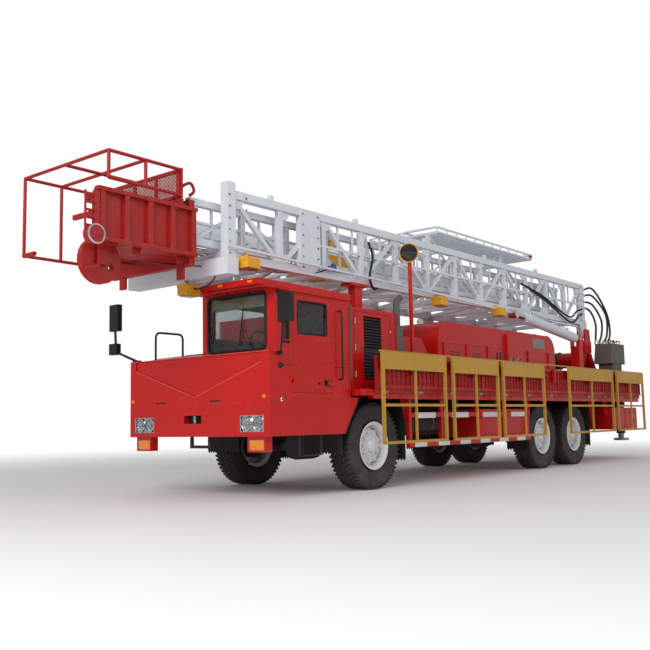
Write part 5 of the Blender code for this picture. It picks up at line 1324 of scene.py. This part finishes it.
# %% Gearbox cover and drum cover
cover, slots, eyes = [], [], []
for side in (1, -1):
    x = side * 0.90
    slots += [box(about(x, 0.003), (y, y + 0.16), about(z, 0.008)) for y in (3.00, 3.55)
              for z in spaced(1.45, 1.75, 7)]
    cover += [bar((x, y, 1.31), (x, y, 1.84), 0.010, 0.04, (0, 1, 0)) for y in (2.84, 3.38, 3.90)]
    x = side * (DRUM_X - 0.05)
    cover += [bar((x, y, 1.31), (x, y, 2.10), 0.016, 0.05, (0, 1, 0)) for y in (4.30, 5.00, 5.70, 7.20, 8.05)]
    cover += [bar((x, 4.2, z), (x, 8.30, z), 0.012, 0.03) for z in (1.36, 2.10)]
    slots += [box(about(x, 0.004), (y, y + 0.05), (1.50, 2.02)) for y in (6.02, 6.14)]
    slots += [box(about(x, 0.004), (y, y + 0.30), about(z, 0.006)) for y in (4.50, 5.20)
              for z in spaced(1.55, 1.95, 9)]
    eyes += [rod((x, y, z), (x + side * 0.010, y, z), 0.010, 6) for y in spaced(4.25, 8.25, 17)
             for z in (1.36, 2.10)]
for y in spaced(4.45, 8.07, 8):
    cover.append(box((-0.952, 0.952), about(y, 0.02), (2.414, 2.428)))
for y in (5.10, 7.40):
    eyes.append(ring((0.0, y, 2.45), 0.05, 0.012, "X", 24))
piece("cover_bands", "carrier", red_enamel, cover, bevel=EDGE)
piece("cover_slots", "carrier", trim_black, slots)
piece("cover_bolts", "carrier", bare_steel, eyes)
piece("maker_plate_blank", "carrier", plate_grey,
      [box((DRUM_X - 0.05, DRUM_X - 0.043), (7.42, 7.92), (2.16, 2.34))], bevel=0.002)
chain = [ring((DRUM_X + 0.002, y, 1.85), 0.10, 0.012, "X", 32) for y in (6.52, 6.78)]
chain += [rod((DRUM_X, y, 1.85), (DRUM_X + 0.03, y, 1.85), 0.05, 20) for y in (6.52, 6.78)]
piece("chain_case_hubs", "carrier", bare_steel, chain, bevel=0.002)

# %% Deck lamp: a yellow bowl with a dark reflector and a clear lens
lamp = Vector((1.10, 3.20, 3.33))
face = Vector((0.45, -0.85, -0.2)).normalized()
turn = face.to_track_quat("Z", "Y").to_matrix().to_4x4()


def facing(profile, sides=40):
    shape = lathe(profile, (0, 0, 0), "Z", sides)
    bmesh.ops.transform(shape, matrix=Matrix.Translation(lamp) @ turn, verts=shape.verts[:])
    return shape


piece("deck_lamp_bowl", "carrier", lamp_yellow,
      [facing([(0.0, -0.098), (0.05, -0.095), (0.10, -0.075), (0.120, -0.02), (0.139, 0.070),
               (0.142, 0.088), (0.128, 0.090), (0.120, 0.082)]),
       bar(lamp + Vector((0, 0, -0.15)), lamp + Vector((0, 0, -0.10)), 0.05, 0.05)])
piece("deck_lamp_reflector", "carrier", trim_black,
      [facing([(0.126, 0.0895), (0.121, 0.0925), (0.09, 0.0915), (0.05, 0.0910), (0.0, 0.0905)]),
       rod(lamp + face * 0.09, lamp + face * 0.098, 0.018, 16)])
piece("deck_lamp_glass", "carrier", lens_clear, [facing([(0.124, 0.0935), (0.08, 0.100), (0.0, 0.103)])])

# %% Console: knobs, levers and gauges
top = measured("control_console")[1].z
knobs = []
for y in spaced(10.50, 11.00, 4):
    for x in (1.02, 1.14, 1.24):
        lean_x = draw.uniform(-0.015, 0.015)
        knobs += [rod((x, y, top - 0.01), (x + lean_x, y + 0.012, top + 0.055), 0.007, 8),
                  lathe([(0.0, -0.020), (0.016, -0.014), (0.022, 0.0), (0.016, 0.014), (0.0, 0.020)],
                        (x + lean_x, y + 0.012, top + 0.065), "Z", 14)]
knobs += [box((0.95, 1.29), (11.096, 11.104), (2.06, 2.34))]
piece("console_levers", "carrier", trim_black, knobs)
gauges = [lathe([(0.0, 0.0), (0.036, 0.0), (0.040, 0.004), (0.040, 0.014), (0.034, 0.014), (0.032, 0.006),
                 (0.0, 0.006)], (x, 11.104, z), "Y", 24) for x in (1.01, 1.12, 1.23) for z in (2.13, 2.26)]
piece("console_gauges", "carrier", bright_trim, gauges)

# %% [markdown]
# ## Walkways, guards and the space below the deck
# The folded walkways are ribbed panels. Below the deck are the guards with their reflective plates,
# triangular brackets, air tanks, shafts and the saw-toothed mudflaps that show behind the wheels.

# %% Walkway ribs, hinges and toe rails
HINGE_X, HINGE_Z = 1.40, 1.27
for side, sign in BOTH_SIDES:
    ribs = [box((sign * 1.424, sign * 1.434), about(y, 0.006), (1.34, 1.69))
            for y in spaced(1.90, 11.47, 92)]
    ribs += [box((sign * 1.424, sign * 1.433), (1.86, 11.51), about(z, 0.005))
             for z in (1.43, 1.52, 1.61)]
    piece(f"walkway_ribs_{side}", f"walkway_{side}_body", walkway_red, ribs)
    x = sign * HINGE_X
    hinges = [rod((x, y - 0.06, HINGE_Z), (x, y + 0.06, HINGE_Z), 0.026, 14) for y in spaced(2.05, 11.30, 12)]
    piece(f"walkway_hinges_{side}", f"walkway_{side}_body", bare_steel, hinges, bevel=0.002)
    rail = [pipe(rounded_path([(sign * 1.30, near, 1.30), (sign * 1.30, near, 1.38),
                               (sign * 1.30, near + 0.5, 1.38), (sign * 1.30, near + 0.5, 1.30)], 0.03),
                 0.010) for near in (4.6, 6.2, 8.9)]
    piece(f"deck_tie_rails_{side}", "carrier", walkway_red, rail, slot="red")

# %% Guards, brackets and reflective plates
GUARD_FACE = measured("side_lockers")[1].x
white_plates, triangles = [], []
for sign in (1, -1):
    x = sign * (GUARD_FACE + 0.002)
    for y in spaced(3.16, 5.96, 4):
        white_plates.append(box(about(x, 0.003), about(y, 0.24), (0.918, 0.996)))
    for y in spaced(3.00, 6.05, 6):
        white_plates.append(box(about(x, 0.003), about(y, 0.15), (0.522, 0.584)))
    for y0, y1, y2 in ((2.64, 2.82, 2.80), (6.56, 6.40, 6.42), (9.12, 9.30, 9.28), (9.86, 10.02, 10.0)):
        triangles.append(plate([(y0, 1.18), (y1, 1.18), (y2, 0.76)], sign * 1.24, sign * 1.255))
        triangles.append(bar((sign * 1.27, (y0 + y2) / 2, 1.18), (sign * 1.27, y2, 0.78), 0.07, 0.012))
piece("reflective_plates", "carrier", glowing_reflective_white, white_plates, bevel=0.001)
piece("deck_brackets", "carrier", red_enamel, triangles, bevel=EDGE)
doors, latches = [], []
for sign in (1, -1):
    x = sign * 1.36
    for near, far in ((10.08, 10.72), (10.78, 11.42)):
        doors += [loop(rectangle((near, far), (0.65, 1.03), x, "X"), 0.03, 0.006)]
        latches += [box((x - 0.004, x + sign * 0.018), ((near + far) / 2 - 0.05, (near + far) / 2 + 0.05),
                        (0.94, 0.97))]
    doors.append(loop(rectangle((4.66, 6.30), (0.66, 1.00), sign * (GUARD_FACE - 0.04), "X"), 0.03, 0.006))
piece("locker_doors", "carrier", red_enamel, doors)
piece("locker_latches", "carrier", trim_black,
      latches + [lathe([(0.0, 0.004), (0.055, 0.004), (0.062, 0.0), (0.0, 0.0)],
                       (sign * 1.3605, 11.22, 0.80), "X", 28) for sign in (1, -1)], bevel=EDGE)

# %% Mudflaps with saw-toothed edges
def mudflap(x0, x1, y, top, bottom):
    teeth = int((x1 - x0) / 0.045)
    outline = [(x0, top), (x1, top)]
    for tooth in range(teeth):
        right_side = x1 - (x1 - x0) * tooth / teeth
        outline += [(right_side, bottom + 0.035), (right_side - (x1 - x0) / teeth / 2, bottom)]
    outline.append((x0, bottom + 0.035))
    return plate(outline, y - 0.006, y + 0.006, "Y")


flaps = [mudflap(0.86, 1.24, y, top, bottom)
         for y, top, bottom in ((2.74, 1.17, 0.34), (6.44, 1.17, 0.34), (9.16, 1.17, 0.32))]
flaps += [mudflap(0.60, 1.22, 1.36, 0.76, 0.48)]
piece("mudflaps", "carrier", seal_rubber, both(flaps))

# %% Air tanks, shafts, spring leaves, brake chambers and pipes
LEAVES, LEAF_PITCH, LEAF_THICK = 5, 0.016, 0.012
TANK_X, TANK_Z = 0.72, 0.86
under = [rod((x, 2.95, TANK_Z), (x, 4.35, TANK_Z), 0.13, 24) for x in (TANK_X, -TANK_X)]
under += [rod((0.0, 2.30, 0.66), (0.0, 3.40, 0.92), 0.045), rod((0.0, 3.55, 0.92), (0.0, 5.30, 0.86), 0.055),
         rod((0.0, 5.35, 0.86), (0.0, 6.90, 0.66), 0.050), rod((0.0, 7.30, 0.66), (0.0, 8.26, 0.66), 0.045),
         rod((0.0, 5.24, 0.86), (0.0, 5.40, 0.86), 0.10), rod((0.0, 3.40, 0.92), (0.0, 3.56, 0.92), 0.09)]
for y in (2.05, 7.10, 8.46):
    for sign in (1, -1):
        under.append(rod((sign * 0.60, y + 0.10, 0.72), (sign * 0.60, y + 0.28, 0.72), 0.085, 20))
        under += [rod((sign * 0.44, y + step, 0.50), (sign * 0.44, y + step, 0.80), 0.012, 8)
                  for step in (-0.10, 0.10)]
        for leaf in range(LEAVES):
            reach, low = 0.48 - leaf * 0.07, 0.655 - leaf * LEAF_PITCH
            under.append(box((sign * 0.395, sign * 0.485), about(y, reach), (low, low + LEAF_THICK)))
air_line = [(0.56, 2.7, 0.70), (0.57, 4.0, 0.68), (0.56, 5.4, 0.70), (0.52, 6.6, 0.74)]
under += both([pipe(smooth_route(air_line, 4), 0.012)])
piece("underframe_parts", "carrier", chassis_black, under, bevel=0.002)
straps = [ring((sign * TANK_X, y, TANK_Z), 0.133, 0.006, "Y", 32) for sign in (1, -1)
          for y in (3.2, 3.65, 4.1)]
piece("tank_straps", "carrier", bare_steel, straps)

# %% Rear lamps, hook and reflectors
REAR_Y = 11.83
lamps = [box((sign * 0.56, sign * 0.70), (REAR_Y - 0.13, REAR_Y - 0.11), (0.84, 0.94)) for sign in (1, -1)]
lamps += [lathe([(0.0, 0.014), (0.03, 0.012), (0.036, 0.0)], (sign * 1.30, 11.452, z), "Y", 20)
          for sign in (1, -1) for z in (0.78, 0.92)]
piece("tail_lamps", "carrier", lens_red, lamps, bevel=EDGE)
piece("tow_hook", "carrier", bare_steel,
      [pipe(rounded_path([(0, REAR_Y - 0.03, 0.86), (0, REAR_Y + 0.05, 0.86), (0, REAR_Y + 0.07, 0.96),
                          (0, REAR_Y + 0.01, 0.98)], 0.04), 0.022)])
jacks = [lathe([(0.10, -0.06), (0.112, -0.04), (0.112, 0.04), (0.10, 0.06)], (sign * 0.92, 11.66, 1.18),
               "Z", 28) for sign in (1, -1)]
piece("jack_collars", "carrier", chassis_black, jacks)

# %% [markdown]
# ## Hoses
# Hydraulic hoses run from the console and the valve bank to the foot of the mast, and along the mast
# itself. A hose that crosses the mast's foot pin is bent between the two bodies and rides on neither of
# them. Each has a crimped fitting at both ends, and each fitting rides on the body at that end.

# %% Hoses that cross the foot pin
HOSE_RADIUS = 0.021


def fitting(at, toward, size):
    at = Vector(at)
    way = (Vector(toward) - at).normalized()
    return [rod(at - way * 0.02, at + way * 0.06, size * 1.35, 12),
            rod(at - way * 0.03, at + way * 0.005, size * 1.6, 6)]


crossing = [
    [(0.82, 10.15, 3.42), (0.94, 10.42, 3.42), (1.06, 10.78, 3.05), (1.05, 10.82, 2.62), (1.02, 10.62, 2.42)],
    [(0.82, 10.15, 3.30), (0.93, 10.40, 3.24), (1.02, 10.62, 2.92), (1.00, 10.64, 2.60), (0.98, 10.50, 2.42)],
    [(0.82, 10.15, 3.54), (0.92, 10.50, 3.58), (1.00, 10.98, 3.12), (1.05, 11.00, 2.66), (1.04, 10.80, 2.42)],
    [(0.82, 10.15, 3.18), (0.90, 10.34, 3.10), (0.97, 10.42, 2.84), (0.97, 10.40, 2.56), (0.98, 10.36, 2.42)],
]
for index, points in enumerate(crossing):
    route = smooth_route(points, 10)
    hose = piece(f"crossing_hose_{index + 1}", None, hose_rubber, [pipe(route, HOSE_RADIUS, 4)])
    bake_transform(hose)
piece("mast_hose_fittings", "mast_lower_body", bright_trim,
      [shape for points in crossing for shape in fitting(points[0], points[1], HOSE_RADIUS)])
piece("console_hose_fittings", "carrier", bright_trim,
      [shape for points in crossing for shape in fitting(points[-1], points[-2], HOSE_RADIUS)])

# %% Hoses on the mast
HOSE_ON_MAST, LINE_ON_MAST = 0.018, 0.009
on_mast = [
    [(0.84, 7.30, 3.36), (0.885, 8.10, 3.20), (0.90, 8.90, 2.96), (0.90, 9.35, 2.90),
     (0.88, 9.70, 3.05), (0.86, 10.02, 3.12)],
    [(0.84, 7.60, 3.30), (0.89, 8.30, 3.10), (0.905, 9.05, 2.84), (0.90, 9.45, 2.80),
     (0.88, 9.78, 2.96), (0.86, 10.02, 3.02)],
    [(0.84, 2.55, 3.42), (0.90, 2.56, 3.20), (0.91, 2.46, 2.90), (0.86, 2.62, 2.76), (0.80, 2.80, 2.80)],
    [(0.72, 0.55, 2.98), (0.74, 0.95, 2.86), (0.84, 1.30, 2.83), (0.88, 1.62, 2.92)],
    [(0.74, -0.20, 2.80), (0.60, -0.28, 2.55), (0.36, -0.27, 2.50), (0.22, -0.26, 2.55)],
]
shapes = []
for index, points in enumerate(on_mast):
    radius = HOSE_ON_MAST if index < 3 else LINE_ON_MAST
    shapes.append(pipe(smooth_route(points, 8), radius, 4))
piece("mast_hoses", "mast_lower_body", hose_rubber, shapes)
piece("valve_on_mast", "mast_lower_body", valve_blue,
      [rod((0.88, 1.58, 2.92), (0.88, 1.72, 2.95), 0.032), rod((0.88, 1.65, 2.93), (0.92, 1.65, 2.97), 0.018),
       box((0.89, 0.93), (1.62, 1.68), (2.96, 2.985))], bevel=0.004)

# %% Valve bank, winch and hoses between the legs of the mast's foot
bank = [box((0.50, 0.70), (10.30, 10.80), (1.302, 2.05))]
bank += [box((0.44, 0.72), (10.28 + step * 0.13, 10.38 + step * 0.13), (2.05, 2.22)) for step in range(4)]
bank += [rod((0.58, 10.33 + step * 0.13, 2.20), (0.58, 10.33 + step * 0.13, 2.36), 0.018, 10)
         for step in range(4)]
piece("valve_bank", "carrier", chassis_black, bank, bevel=EDGE)
WINCH_Y, WINCH_Z = 9.98, 2.06
ROPE_PITCH, ROPE_TURNS = 0.0205, 29
winch = [ring((sign * 0.34, WINCH_Y, WINCH_Z), 0.175, 0.014, "X", 36) for sign in (1, -1)]
winch += [lathe([(0.162, -0.30), (0.162, 0.30)], (0, WINCH_Y, WINCH_Z), "X", 36)]
winch += [ring((-0.29 + turn * ROPE_PITCH, WINCH_Y, WINCH_Z), 0.166, 0.0095, "X", 24)
          for turn in range(ROPE_TURNS)]
piece("winch_rope", "carrier", wire_steel, winch)
low_hoses = []
for step in range(6):
    start = Vector((0.66, 10.34 + step * 0.08, 2.0 - step * 0.05))
    end = Vector((0.96, 10.40 + step * 0.05, 1.62 + draw.uniform(-0.1, 0.1)))
    middle = (start + end) / 2 + Vector((0.05, draw.uniform(-0.1, 0.1), -0.22))
    low_hoses.append(pipe(smooth_route([start, middle, end], 8), 0.013))
for y0 in (8.45, 8.60):
    low_hoses.append(pipe(smooth_route([(0.70, y0 - 0.14, 1.90), (0.76, y0 + 0.10, 2.14),
                                        (0.80, y0 + 0.22, 1.85), (0.78, y0 + 0.20, 1.32)], 8), 0.015))
piece("deck_hoses", "carrier", hose_rubber, low_hoses)

# %% Cylinder ports and pipes
CYLINDER_X = 0.98
for side, sign in BOTH_SIDES:
    x = sign * CYLINDER_X
    ports = [rod((x, 8.95, 2.56), (x, 8.95, 2.64), 0.022, 12),
             rod((x, 7.35, 2.74), (x, 7.35, 2.83), 0.022, 12)]
    ports.append(pipe([(x, 8.95, 2.62), (x, 7.35, 2.81)], 0.009))
    piece(f"cylinder_pipe_{side}", f"cylinder_{side}_body", bright_trim, ports)
print(len(made_triangles), "added pieces")

# %% [markdown]
# ## The end of the lesson
# The last cell counts the triangles of the added pieces, before bevels.

# %% Count the triangles and finish
print(f"{sum(made_triangles.values())} triangles in {len(made_triangles)} added pieces, before bevels")
